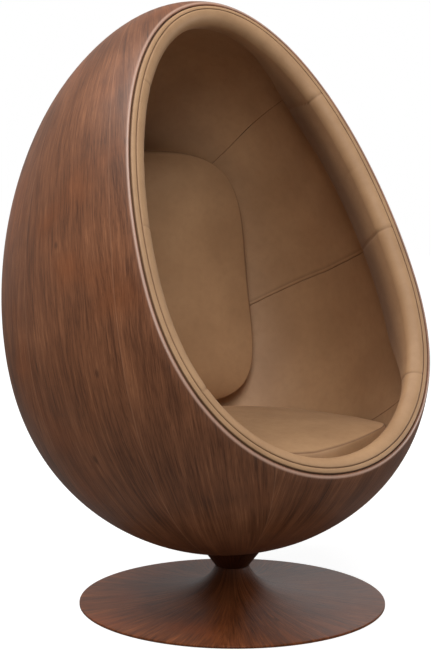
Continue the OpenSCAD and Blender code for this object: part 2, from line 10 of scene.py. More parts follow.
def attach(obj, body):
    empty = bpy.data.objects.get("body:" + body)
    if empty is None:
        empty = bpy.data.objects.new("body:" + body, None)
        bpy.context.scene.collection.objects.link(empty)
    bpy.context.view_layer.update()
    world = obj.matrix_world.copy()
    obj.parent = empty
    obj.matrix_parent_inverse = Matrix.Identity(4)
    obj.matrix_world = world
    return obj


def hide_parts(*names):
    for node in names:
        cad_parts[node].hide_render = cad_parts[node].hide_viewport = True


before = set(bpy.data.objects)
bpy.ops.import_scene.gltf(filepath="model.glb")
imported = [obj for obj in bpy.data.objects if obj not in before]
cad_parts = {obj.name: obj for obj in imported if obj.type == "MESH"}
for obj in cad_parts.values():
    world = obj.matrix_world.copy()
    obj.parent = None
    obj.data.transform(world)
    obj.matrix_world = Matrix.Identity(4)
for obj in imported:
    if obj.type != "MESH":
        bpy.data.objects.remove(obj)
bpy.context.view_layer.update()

MM = 0.001

# The egg in its own leaning frame: s runs up the axis, q runs back from it, x to the side
LEAN = math.radians(25.8)
POD_HALF_W = 0.445
POD_BACK = 0.345
POD_FRONT = 0.547
POD_ABOVE = 0.715
POD_BELOW = 0.488
AXIS_BOW = 0.157
MOUTH_FRONT = 0.3575
LOW_POWER = 2.17
TIP_POWER = 1.9
TIP_ROOT = 2
POD_FLOOR_GAP = 0.112
SHELL_T = 0.0065
LINING_DEPTH = 0.036
LINING_OUT = SHELL_T + 0.003

# Edge of the mouth
ROLL_R = 0.0233
ROLL_IN = 0.0215
ROLL_BEHIND = 0.0195
BAND_PROUD = 0.004
BAND_FOOT = 0.005
SEAM_GAP = 0.0006
MOUTH_BACK = ROLL_BEHIND + ROLL_R + 0.0003

# Seams of the lining: the highest point of each on the axis, how far it drops along the wall,
# and the angle round the axis where it is highest
HEAD_SEAM = (0.527, 0.091, math.radians(3))
SIDE_SEAM = (0.171, 0.090, math.radians(20))
WELL_SEAM = -0.236

# The padded rim: how far it runs back inside the mouth, how far its face leans outward, between
# which heights it grows from nothing beside the seat, and from which height and by what share it
# slims towards the top
RIM_DEEP = 0.088
RIM_TURN = math.radians(19)
RIM_STARTS = -0.30
RIM_FULL = -0.08
RIM_SLIM_FROM = 0.43
RIM_SLIMS = 0.8
# How softly the rim runs into the lining, and how much painted shade darkens its leather there.
# The lining beside it carries as much painted shade up to RIM_REACH, and it fades over RIM_FADES
RIM_SOFT = 0.008
RIM_PAINTED_SHADE = 0.9
RIM_REACH = 0.110
RIM_FADES = 0.110

# Seat and back cushion
DECK_Z = 0.258
SEAT_FOOT = DECK_Z + 0.0003
SEAT_EDGE_Z = 0.370
SEAT_CROWN = 24 * MM
SEAT_FRONT_R = 0.397
SEAT_FRONT_Y = 0.097
DECK_Y = 0.010
CUSHION_IN = LINING_DEPTH + 0.002
BACK_HALF_W = 0.270
BACK_NARROWS = 0.045
BACK_ROUNDS = 0.2
BACK_LOW_Z = 0.383
BACK_TOP_Z = 0.994
BACK_EDGE_T = 0.058
BACK_CROWN = 12 * MM

# Base
BASE_R = 0.330
PAD_T = 0.0015
RIM_T = 0.005
DISC_RISE = 0.009
WAIST_R = 0.0365
WAIST_Z = 0.078
COVER_T = 0.003
PLATE_R = 0.285
PLATE_TOP = 0.0055
FLARE_STEEP = 8

# Neck: how fast its cone opens upward, how much wider still it is at its top, and its bore, which
# is wider round the mounting plate, from NECK_STEP_Z up
NECK_Z = WAIST_Z + 0.0006
NECK_OPENS = 0.72
NECK_FLARES = 0.002
NECK_TALL = 0.034
NECK_BORE = 0.0335
NECK_RECESS = 0.0463
NECK_STEP_Z = 0.1034


# Soft steps, and points round an upright line


def ease(share):
    """Rises smoothly with the share, from 0 to 1."""
    k = np.clip(share, 0, 1)
    return k * k * (3 - 2 * k)


def hump(distance, width):
    """1 at no distance, and next to nothing beyond two widths either way."""
    return np.exp(-((distance / width) ** 2))


def polar(r, a, z, y=0.0):
    """Points at radius r, angle a and height z round an upright line that stands at y."""
    r, a, z = np.broadcast_arrays(r, a, z)
    return np.stack([r * np.cos(a), y + r * np.sin(a), z], axis=-1)


# Shape of the egg


def reach(s, inset):
    return np.where(s < 0, POD_BELOW, POD_ABOVE) - inset


def swell(s, inset):
    k = np.minimum(1, np.abs(s) / reach(s, inset))
    low = (1 - k**LOW_POWER) ** (1 / LOW_POWER)
    tip = (1 - k**TIP_POWER) ** (1 / TIP_ROOT)
    return np.where(s < 0, low, tip)


def half_w(s, inset):
    return (POD_HALF_W - inset) * swell(s, inset)


def half_d(s, inset, side):
    return (np.where(side < 0, POD_FRONT, POD_BACK) - inset) * swell(s, inset)


def bow(s):
    return -AXIS_BOW * (s / POD_ABOVE) ** 2


def root(f, low, high, steps=44):
    """Where f turns from negative at low to positive at high, for arrays of ends."""
    low, high = np.broadcast_arrays(np.asarray(low, float), np.asarray(high, float))
    low, high = low.copy(), high.copy()
    for _ in range(steps):
        mid = (low + high) / 2
        over = f(mid) > 0
        high = np.where(over, mid, high)
        low = np.where(over, low, mid)
    return (low + high) / 2


def lowest_place():
    s = -POD_BELOW * np.arange(6000) / 6000
    q = bow(s) + half_d(s, 0, 1)
    drop = s * math.cos(LEAN) - q * math.sin(LEAN)
    behind = s * math.sin(LEAN) + q * math.cos(LEAN)
    k = drop.argmin()
    return -behind[k], POD_FLOOR_GAP - drop[k]


POD_Y, POD_Z = lowest_place()


def in_room(x, q, s):
    x, q, s = np.broadcast_arrays(x, q, s)
    return np.stack([
        x,
        POD_Y + s * math.sin(LEAN) + q * math.cos(LEAN),
        POD_Z + s * math.cos(LEAN) - q * math.sin(LEAN),
    ], axis=-1)


def in_egg(p):
    """x, q and s of points in the room."""
    y = p[..., 1] - POD_Y
    z = p[..., 2] - POD_Z
    return (
        p[..., 0],
        y * math.cos(LEAN) - z * math.sin(LEAN),
        y * math.sin(LEAN) + z * math.cos(LEAN),
    )


def outside(p, inset):
    """Less than 0 inside the egg at that depth below its surface, more than 0 outside it."""
    x, q, s = in_egg(p)
    e = q - bow(s)
    w = np.maximum(half_w(s, inset), 1e-6)
    d = np.maximum(half_d(s, inset, e), 1e-6)
    return np.where(np.abs(s) >= reach(s, inset), 1.0, (x / w) ** 2 + (e / d) ** 2 - 1)


def on_wall(s, a, inset):
    """Point at height s and angle a round the axis: a quarter turn is the back."""
    side = np.sin(a)
    return in_room(half_w(s, inset) * np.cos(a), bow(s) + half_d(s, inset, side) * side, s)


def ring_end(q, inset, way):
    return root(
        lambda s: np.abs(q - bow(s)) - half_d(s, inset, q - bow(s)),
        np.zeros_like(np.asarray(q, float)),
        way * (POD_ABOVE if way > 0 else POD_BELOW) - way * inset,
    )


def side_at(q, s, inset):
    e = q - bow(s)
    d = np.maximum(half_d(s, inset, e), 1e-6)
    return half_w(s, inset) * np.sqrt(np.maximum(0, 1 - (e / d) ** 2))


def ring(q, inset, n):
    """x and s of the ring where a plane parallel to the mouth cuts the egg."""
    top, low = ring_end(q, inset, 1), ring_end(q, inset, -1)
    a = 2 * math.pi * np.arange(n) / n
    s = (top + low) / 2 + (top - low) / 2 * np.cos(a)
    x = np.sign(np.round(np.sin(a), 9)) * side_at(q, s, inset)
    return x, s


def ring_points(q, inset, n):
    x, s = ring(q, inset, n)
    return in_room(x, q, s)


class Lip:
    """The line of the wooden lip, evenly spaced, and places beside and behind it."""

    def __init__(self, n):
        x, s = ring(-MOUTH_FRONT, 0, 4 * n)
        points = np.stack([x, s], axis=1)
        closed = np.vstack([points, points[:1]])
        length = np.concatenate([[0], np.cumsum(np.linalg.norm(np.diff(closed, axis=0), axis=1))])
        even = np.linspace(0, length[-1], n, endpoint=False)
        self.line = np.stack([np.interp(even, length, closed[:, i]) for i in (0, 1)], axis=1)
        self.length = length[-1]
        self.along = even
        tangent = np.roll(self.line, -1, axis=0) - np.roll(self.line, 1, axis=0)
        tangent /= np.linalg.norm(tangent, axis=1)[:, None]
        self.outward = np.stack([-tangent[:, 1], tangent[:, 0]], axis=1)

    def beside(self, inward, behind):
        p = self.line - self.outward * np.asarray(inward)[..., None]
        return in_room(p[:, 0], behind - MOUTH_FRONT, p[:, 1])


# Meshes


def make_object(name, points, faces, smooth=True):
    mesh = bpy.data.meshes.new(name)
    mesh.from_pydata([tuple(p) for p in np.asarray(points, float)], [], faces)
    mesh.validate()
    mesh.update()
    if smooth:
        mesh.shade_smooth()
    obj = bpy.data.objects.new(name, mesh)
    bpy.context.scene.collection.objects.link(obj)
    return obj


# Distances of points from a sewn end, where the leather turns down, and where they are even again
SEWN_STEPS = np.array([0, 0.25, 0.7, 1.4, 2.3, 3.4, 5, 8]) * MM
SEWN_END = 11 * MM


def between(one, two):
    """The squares between two closed rows of point numbers."""
    return np.stack([one, np.roll(one, -1), np.roll(two, -1), two], axis=-1).tolist()


def squares(at, under=False):
    """The squares of a grid of point numbers, which face the other way on an under side."""
    a, b, c, d = at[:-1, :-1], at[:-1, 1:], at[1:, 1:], at[1:, :-1]
    corners = [a, d, c, b] if under else [a, b, c, d]
    return np.stack(corners, axis=-1).reshape(-1, 4).tolist()


def lofted(name, rows, first, last):
    """A closed skin over closed rows, from a pole before the first row to one after the last."""
    m, n = len(rows), len(rows[0])
    at = np.arange(m * n).reshape(m, n)
    faces = []
    for k in range(m - 1):
        faces += between(at[k], at[k + 1])
    for j in range(n):
        i = (j + 1) % n
        faces.append((m * n, i, j))
        faces.append((m * n + 1, (m - 1) * n + j, (m - 1) * n + i))
    return make_object(name, np.vstack([*rows, first, last]), faces)


def hoop(name, rows):
    """A closed tube: each row is a closed section, and the rows close on each other."""
    m, n = len(rows), len(rows[0])
    at = np.arange(m * n).reshape(m, n)
    faces = []
    for k in range(m):
        faces += between(at[k], at[(k + 1) % m])
    return make_object(name, np.vstack(rows), faces)


def slab(name, face, back):
    """A closed panel between a grid of points and a matching grid behind it."""
    m, n = face.shape[:2]
    at = np.arange(m * n).reshape(m, n)
    edge = np.concatenate([at[0, :-1], at[:-1, -1], at[-1, :0:-1], at[:0:-1, 0]])
    after = np.roll(edge, -1)
    rim = np.stack([after, edge, edge + m * n, after + m * n], axis=-1).tolist()
    points = np.vstack([face.reshape(-1, 3), back.reshape(-1, 3)])
    return make_object(name, points, squares(at) + squares(at + m * n, under=True) + rim)


def spaced(length, step, soft_start, soft_end):
    """Shares from 0 to 1, about a step apart, and closer together beside a sewn end."""
    near = SEWN_STEPS / length
    gap = SEWN_END / length
    inner = np.linspace(0, 1, max(3, int(length / step)))
    inner = inner[(inner > (gap if soft_start else -1)) & (inner < (1 - gap if soft_end else 2))]
    parts = [inner]
    if soft_start:
        parts.insert(0, near)
    if soft_end:
        parts.append(1 - near[::-1])
    return np.concatenate(parts)


def bumps(points, size, seed):
    """A smooth random height from -1 to 1 at each point, with lumps of about that size."""
    flat = points.reshape(-1, 3) / size
    values = [noise.noise(Vector(p) + Vector((seed, 0, 0))) for p in flat.tolist()]
    return np.array(values).reshape(points.shape[:-1])


# Shader maths


class Sock:
    """A socket of a material, so that shader maths reads as plain expressions."""

    def __init__(self, shop, socket):
        self.shop, self.socket = shop, socket

    def _math(self, operation, *values):
        inputs = dict(enumerate(values))
        return self.shop.node("ShaderNodeMath", {"operation": operation}, inputs)[0]

    def __add__(self, other):
        return self._math("ADD", self, other)

    __radd__ = __add__

    def __sub__(self, other):
        return self._math("SUBTRACT", self, other)

    def __rsub__(self, other):
        return self._math("SUBTRACT", other, self)

    def __mul__(self, other):
        return self._math("MULTIPLY", self, other)

    __rmul__ = __mul__

    def fn(self, operation, *others):
        return self._math(operation, self, *others)

    def ramp(self, low, high):
        """0 below low, 1 above high, and smooth between."""
        settings = {"interpolation_type": "SMOOTHSTEP"}
        return self.shop.node("ShaderNodeMapRange", settings, {"Value": self, 1: low, 2: high})[0]


class Shop:
    """Builds the nodes of one material, or of the world."""

    def __init__(self, name, world=False):
        shelf = bpy.data.worlds if world else bpy.data.materials
        self.made = shelf.new(name)
        self.made.use_nodes = True
        self.tree = self.made.node_tree
        self.tree.nodes.clear()
        kind = "World" if world else "Material"
        self.out = self.tree.nodes.new("ShaderNodeOutput" + kind)

    def node(self, kind, settings, inputs):
        made = self.tree.nodes.new(kind)
        for key, value in settings.items():
            if key == "stops":
                self._stops(made.color_ramp, value)
            else:
                setattr(made, key, value)
        for key, value in inputs.items():
            if isinstance(value, Sock):
                self.tree.links.new(value.socket, made.inputs[key])
            else:
                made.inputs[key].default_value = value
        return [Sock(self, s) for s in made.outputs if s.enabled]

    def _stops(self, ramp, stops):
        while len(ramp.elements) < len(stops):
            ramp.elements.new(0.5)
        for element, (place, tint) in zip(ramp.elements, stops):
            element.position = place
            element.color = colour(tint)

    def place(self):
        """x, y and z of the point on the piece, in metres."""
        here = self.node("ShaderNodeTexCoord", {}, {})[3]
        return self.node("ShaderNodeSeparateXYZ", {}, {0: here})

    def spot(self, x, y, z):
        return self.node("ShaderNodeCombineXYZ", {}, {0: x, 1: y, 2: z})[0]

    def noise(self, where, scale, detail=3.0, rough=0.5, distort=0.0):
        inputs = {"Vector": where, "Scale": scale, "Detail": detail, "Roughness": rough,
                  "Distortion": distort}
        return self.node("ShaderNodeTexNoise", {}, inputs)[0]

    def cells(self, where, scale):
        """Distance to the nearest of points that are strewn about."""
        return self.node("ShaderNodeTexVoronoi", {}, {"Vector": where, "Scale": scale})[0]

    def attribute(self, name):
        return self.node("ShaderNodeAttribute", {"attribute_name": name}, {})[2]

    def blend(self, share, first, second, kind="MIX"):
        settings = {"data_type": "RGBA", "blend_type": kind}
        inputs = {0: share, 6: colour(first), 7: colour(second)}
        return self.node("ShaderNodeMix", settings, inputs)[0]

    def bump(self, height, distance, strength):
        inputs = {"Height": height, "Distance": distance, "Strength": strength}
        return self.node("ShaderNodeBump", {}, inputs)[0]

    def surface(self, shader):
        self.tree.links.new(shader.socket, self.out.inputs["Surface"])
        return self.made

    def skin(self, **inputs):
        """The main shader: its inputs are named as the shader's own sockets."""
        named = {key.replace("_", " "): value for key, value in inputs.items()}
        return self.surface(self.node("ShaderNodeBsdfPrincipled", {}, named)[0])


def colour(value):
    """A colour socket as it is, or three numbers from 0 to 255 as seen on a screen."""
    if isinstance(value, Sock):
        return value
    return (*(screen(v) for v in value), 1)


def screen(value):
    share = value / 255
    return share / 12.92 if share <= 0.04045 else ((share + 0.055) / 1.055) ** 2.4


# Materials, with colours as seen on a screen, 0 to 255

# Walnut: its tones from dark to light, and the colours of what lies in them or over them
WALNUT_TONES = (
    (0.20, (72, 43, 27)),
    (0.42, (104, 64, 41)),
    (0.60, (126, 80, 53)),
    (0.85, (156, 104, 71)),
)
WARM_PATCH = (142, 78, 38)
PORE = (56, 33, 21)
KNOT = (48, 27, 18)
LEAF_JOINT = (176, 128, 98)
# Painted highlight for the wooden lip
PAINTED_LIP_HIGHLIGHT = (222, 182, 160)
BASE_TINT = (255, 229, 204)
# Painted shadow on the base round the post, under the egg
BASE_PAINTED_SHADOW = (34, 14, 7)
# Painted shade for the neck, which stands in the shadow under the egg
NECK_PAINTED_SHADE = (22, 9, 5)
# Part of a leaf by which the first joint of the veneer is turned from the right
LEAF_START = 0.35

HIDE_TONES = ((172, 133, 96), (186, 146, 107))
HIDE_MOTTLE = (158, 119, 84)
HIDE_SEAM_AND_SHADE = (84, 50, 26)
PLY_TONES = ((214, 183, 138), (190, 154, 108))
PLY_EDGE = (140, 103, 66)
FELT_TONES = ((26, 26, 27), (48, 47, 46))


def walnut(name, leaves, on_pod, straight, broad, stain_and_shade):
    """Veneer laid in leaves, side by side round the chord from the neck to the tip of the egg, or
    round the post. straight says how far the grain keeps to the middle of its leaf and not to the
    narrowing edges, broad how wide a leaf is, and stain its painted shade, 0 to 1."""
    shop = Shop(name)
    x, y, z = shop.place()
    if on_pod:
        low = np.array([0, 0, POD_FLOOR_GAP])
        chord = in_room(0.0, float(bow(POD_ABOVE)), POD_ABOVE) - low
        lean, up = (chord / np.linalg.norm(chord))[1:].tolist()
        height = z - POD_FLOOR_GAP
        rise = y * lean + height * up
        behind = y * up - height * lean
        streaky, fibrous, dull, gloss = 0.62, 0.55, 0.42, 0.2
    else:
        rise = z
        behind = y
        streaky, fibrous, dull, gloss = 0.9, 0.8, 0.34, 0.14
    out = (x * x + behind * behind).fn("SQRT")
    leaf = behind.fn("ARCTAN2", x) * (leaves / (2 * math.pi)) + LEAF_START
    number = leaf.fn("FLOOR")
    part = leaf - number - 0.5
    width = out * (2 * math.pi / leaves)
    across = part * (width * straight + (1 - straight) * broad)
    along = rise if on_pod else out + rise
    # A step from leaf to leaf, so that each has its own grain
    lot = number * 3.71
    drift = shop.noise(shop.spot(across * 4.0, along * 2.6, lot), 1.0, 1.0) - 0.5
    slope = (number * 2.4).fn("SINE") * 0.07
    grain = across + drift * 0.034 + slope * (along - 0.5)

    def drawn(fine, long, detail, rough=0.5, distort=0.0):
        """Noise drawn out along the grain, about that many lumps to a metre across and along."""
        where = shop.spot(grain * fine, along * long, lot)
        return shop.noise(where, 1.0, detail, rough, distort)

    figure = drawn(30, 3.4, 4.0, 0.62, 0.35)
    streak = drawn(190, 8, 3.0, 0.6)
    fibre = drawn(560, 26, 2.0, 0.55)
    patch = shop.noise(shop.spot(x, y, z), 8.0, 2.0)
    tone = (0.5 + (figure - 0.5) * 0.6 + (streak - 0.5) * streaky
            + (fibre - 0.5) * fibrous + (patch - 0.5) * 0.35)
    base = shop.node("ShaderNodeValToRGB", {"stops": WALNUT_TONES}, {0: tone})[0]
    warm = shop.noise(shop.spot(x, y + 3, z), 6.5, 1.0).ramp(0.5, 0.78)
    base = shop.blend(warm * 0.4, base, WARM_PATCH)
    pore = drawn(900, 60, 1.0).ramp(0.58, 0.7)
    base = shop.blend(pore * 0.3, base, PORE)
    knot = 1 - shop.cells(shop.spot(grain * 9, along * 5.5, lot), 1.0).ramp(0.02, 0.075)
    base = shop.blend(knot * 0.55, base, KNOT)
    if on_pod:
        edge = (0.5 - part.fn("ABSOLUTE")) * width
        joint = 1 - edge.ramp(0.0002, 0.0016)
        base = shop.blend(joint * 0.25, base, LEAF_JOINT)
        # The lip mark paints a highlight along the outer side of the lip, and gives it a clear
        # coat
        lip = shop.attribute("lip")
        base = shop.blend(lip * 0.6, base, PAINTED_LIP_HIGHLIGHT)
        coat = lip * 0.8
    else:
        base = shop.blend(1.0, base, BASE_TINT, "MULTIPLY")
        # Painted shadow round the post, where the egg keeps the light off the base
        base = shop.blend((1 - out.ramp(0.03, 0.17)) * 0.5, base, BASE_PAINTED_SHADOW)
        coat = 0.0
    # A darker copy of the veneer: painted shade over all of it
    if stain_and_shade:
        base = shop.blend(stain_and_shade, base, NECK_PAINTED_SHADE)
    return shop.skin(
        Base_Color=base,
        Roughness=dull + 0.12 * streak,
        Normal=shop.bump(streak * 0.35 + pore * -0.65, 0.00016, 0.6),
        Specular_IOR_Level=gloss,
        Coat_Weight=coat,
        Coat_Roughness=0.28,
    )


def leather(name):
    """Tan hide with a fine grain, soft creases, darker seams and painted shade at the rim of the
    mouth.
    """
    shop = Shop(name)
    x, y, z = shop.place()
    here = shop.spot(x, y, z)
    cloudy = shop.noise(here, 9.0)
    mottle = shop.noise(here, 60.0, 3.0, 0.6)
    grain = shop.cells(here, 900.0)
    wrinkle = shop.noise(here, 210.0, 3.0, 0.65, 0.6)
    base = shop.blend(cloudy.ramp(0.25, 0.75), *HIDE_TONES)
    base = shop.blend(mottle.ramp(0.35, 0.8) * 0.25, base, HIDE_MOTTLE)
    # The seam mark carries both the darker seams and the painted shade in and behind the rim
    seam = shop.attribute("seam")
    base = shop.blend(seam * 0.7, base, HIDE_SEAM_AND_SHADE)
    return shop.skin(
        Base_Color=base,
        Roughness=0.46 + 0.14 * mottle + seam * 0.35,
        Normal=shop.bump(grain * 0.55 + wrinkle * 0.9, 0.0003, 0.55),
        Specular_IOR_Level=0.42,
        Sheen_Weight=0.05,
        Sheen_Roughness=0.5,
    )


def metal(name, tint, rough):
    """Turned or rolled metal with faint tool marks."""
    shop = Shop(name)
    x, y, z = shop.place()
    marks = shop.noise(shop.spot(x, y, z * 30), 140.0, 3.0, 0.6)
    stain_and_shade = shop.noise(shop.spot(x, y, z), 22.0, 2.0)
    return shop.skin(
        Base_Color=shop.blend(stain_and_shade.ramp(0.3, 0.75) * 0.3, tint, tuple(v * 0.72 for v in tint)),
        Metallic=1.0,
        Roughness=rough + 0.14 * marks,
        Normal=shop.bump(marks, 0.0001, 0.3),
    )


def plywood(name):
    """Birch ply: pale face, and thin darker plies on its edges."""
    shop = Shop(name)
    x, y, z = shop.place()
    figure = shop.noise(shop.spot(x * 18, y * 1.5, z * 3), 7.0, 4.0, 0.6)
    plies = (z * 2100).fn("SINE").ramp(0.2, 0.9)
    base = shop.blend(figure, *PLY_TONES)
    return shop.skin(
        Base_Color=shop.blend(plies * 0.3, base, PLY_EDGE),
        Roughness=0.62 + 0.1 * figure,
        Normal=shop.bump(figure, 0.0002, 0.4),
    )


def felt(name):
    """Black pressed felt."""
    shop = Shop(name)
    x, y, z = shop.place()
    fuzz = shop.noise(shop.spot(x, y, z), 900.0, 2.0, 0.7)
    return shop.skin(
        Base_Color=shop.blend(fuzz, *FELT_TONES),
        Roughness=0.92,
        Normal=shop.bump(fuzz, 0.0004, 0.6),
    )


WALNUT_POD = walnut("walnut_pod", 11, True, 0.4, 0.24, 0)
# The neck's veneer is a darker copy, painted shade for the shadow under the egg
WALNUT_NECK_PAINTED_SHADE = walnut("walnut_neck", 11, False, 0.2, 0.05, 0.5)
WALNUT_BASE = walnut("walnut_base", 18, False, 0.2, 0.1, 0)
HIDE = leather("tan_leather")
STEEL = metal("mill_steel", (120, 121, 124), 0.34)
BEARING = metal("bearing_steel", (176, 178, 182), 0.14)
ZINC = metal("zinc_plate", (168, 168, 160), 0.28)
BRONZE = metal("bush_bronze", (176, 128, 66), 0.3)
PLY = plywood("birch_ply")
FELT = felt("black_felt")


def finish_piece(obj, material, slot, body, *nodes):
    obj.data.materials.clear()
    obj.data.materials.append(material)
    if nodes:
        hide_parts(*nodes)
    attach(obj, body)
    return obj


def repaint(material, *nodes):
    for name in nodes:
        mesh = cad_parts[name].data
        mesh.materials.clear()
        mesh.materials.append(material)


def mark(obj, name, values):
    """Keeps a value from 0 to 1 on each point for the material."""
    attribute = obj.data.attributes.new(name, "FLOAT", "POINT")
    attribute.data.foreach_set("value", np.asarray(values, np.float32).ravel())


# Shell


# Points round the shell, its rows outside, over the lip and inside, and where in the rows of the
# lip, and over how many of them, a highlight is painted on the veneer
SHELL_ROUND = 224
OUTER_ROWS = 72
LIP_ROWS = 12
INNER_ROWS = 30
LIP_HIGHLIGHT_ROW = 4
LIP_HIGHLIGHT_ROWS = 2.2


def make_shell():
    half = SHELL_T / 2
    start = half - MOUTH_FRONT

    def row(share, inset):
        """The ring at a share of the way round from the lip to the back."""
        first = math.asin(start / (POD_FRONT - inset))
        a = first + (math.pi / 2 - first) * share
        q = ((POD_FRONT if a < 0 else POD_BACK) - inset) * math.sin(a)
        return ring_points(q, inset, SHELL_ROUND)

    outer = [row(k / OUTER_ROWS, 0) for k in range(OUTER_ROWS - 1, 0, -1)]
    lip = []
    for k in range(LIP_ROWS + 1):
        a = math.pi * k / LIP_ROWS
        lip.append(ring_points(start - half * math.sin(a), half - half * math.cos(a), SHELL_ROUND))
    inner = [row(k / INNER_ROWS, SHELL_T) for k in range(1, INNER_ROWS)]
    rows = outer + lip + inner
    first = in_room(0.0, POD_BACK, 0.0)
    last = in_room(0.0, POD_BACK - SHELL_T, 0.0)
    shell = lofted("walnut_shell", rows, first, last)
    # A painted highlight along the outer side of the lip, kept as the lip mark
    painted_highlight = np.zeros((len(rows), SHELL_ROUND))
    for k in range(len(lip)):
        painted_highlight[len(outer) + k] = hump(k - LIP_HIGHLIGHT_ROW, LIP_HIGHLIGHT_ROWS)
    mark(shell, "lip", np.append(painted_highlight.ravel(), [0, 0]))
    finish_piece(shell, WALNUT_POD, "walnut_veneer", "pod", "shell")


# Edge of the mouth

LIP = Lip(720)
ROLL_FRONT = math.radians(-96)
ROLL_HEEL = math.radians(150)
HEEL_IN = ROLL_IN + ROLL_R * math.cos(ROLL_HEEL)
HEEL_BEHIND = ROLL_BEHIND + ROLL_R * math.sin(ROLL_HEEL)


def on_chord(behind, gap):
    """Distance in from the lip to the flat of the roll, at a distance behind the lip."""
    front = ROLL_IN + ROLL_R * math.cos(ROLL_FRONT)
    front_behind = ROLL_BEHIND + ROLL_R * math.sin(ROLL_FRONT)
    share = (behind - front_behind) / (HEEL_BEHIND - front_behind)
    return front + (HEEL_IN - front) * share - gap


# Where the leather of the rim is joined, as heights of the lip and how far each joint slides
# up the rim as it runs back, and where it is only pinched
ROLL_JOINTS = ((0.444, 0.026), (0.112, 0), (-0.237, 0))
ROLL_PINCH = 0.265
# How wide a joint is, the pinch that goes with it, and the nick of a pinch, near the front only
JOINT_WIDTH = 1.5 * MM
PINCH_WIDTH = 9 * MM
NICK_WIDTH = 4 * MM
# How deep the leather is drawn in by joints and pinches, on the crest of the roll and on its face
CREST_JOINT = 1.1 * MM
CREST_PINCH = 1.2 * MM
FACE_JOINT = 1.6 * MM
FACE_PINCH = 2.0 * MM
# How far the roll swells and sways, and is tucked in beside the band
FACE_SWELL = 1.5 * MM
ROLL_SWAY = 0.4 * MM
ROLL_TUCK = 2 * MM
# How far the roll stays off the lining, how far its end dives into it, and how deep it lies below
ROLL_CLEAR = 1.2 * MM
ROLL_DIVE = 3 * MM
ROLL_UNDER = 4 * MM


def along_from(level, side, slide=0.0):
    """Distance along the lip from the place at that height, on the right (1) or left (-1)."""
    there = np.sign(LIP.line[:, 0]) == side
    k = np.where(there, np.abs(LIP.line[:, 1] - level), 9).argmin()
    gap = np.abs(LIP.along - LIP.along[k] + side * slide)
    return np.minimum(gap, LIP.length - gap)


def roll_dips(depth):
    """How deep each place along the rim lies in a joint and in a pinch, from 0 to 1, at a
    share of the rim's depth."""
    joint = np.zeros(len(LIP.line))
    pinch = np.zeros(len(LIP.line))
    for side in (-1, 1):
        for level, slide in ROLL_JOINTS:
            gap = along_from(level, side, slide * depth)
            joint = np.maximum(joint, hump(gap, JOINT_WIDTH))
            pinch = np.maximum(pinch, 0.5 * hump(gap, PINCH_WIDTH))
        nick = 0.6 * hump(depth, 0.15) * hump(along_from(ROLL_PINCH, side), NICK_WIDTH)
        pinch = np.maximum(pinch, nick)
    return joint, pinch


def inward_to(inset, behind):
    """Distance in from the lip to that depth in the wall, at a distance behind the lip."""
    count = len(LIP.line)
    return root(lambda inward: -outside(LIP.beside(inward, behind), inset),
                np.full(count, -0.16), np.full(count, 0.12))


def rim_share(s):
    """How much of its full depth the rim has at that height."""
    top = LIP.line[:, 1].max()
    slim = 1 - RIM_SLIMS * ease((s - RIM_SLIM_FROM) / (top - RIM_SLIM_FROM))
    return ease((s - RIM_STARTS) / (RIM_FULL - RIM_STARTS)) * slim


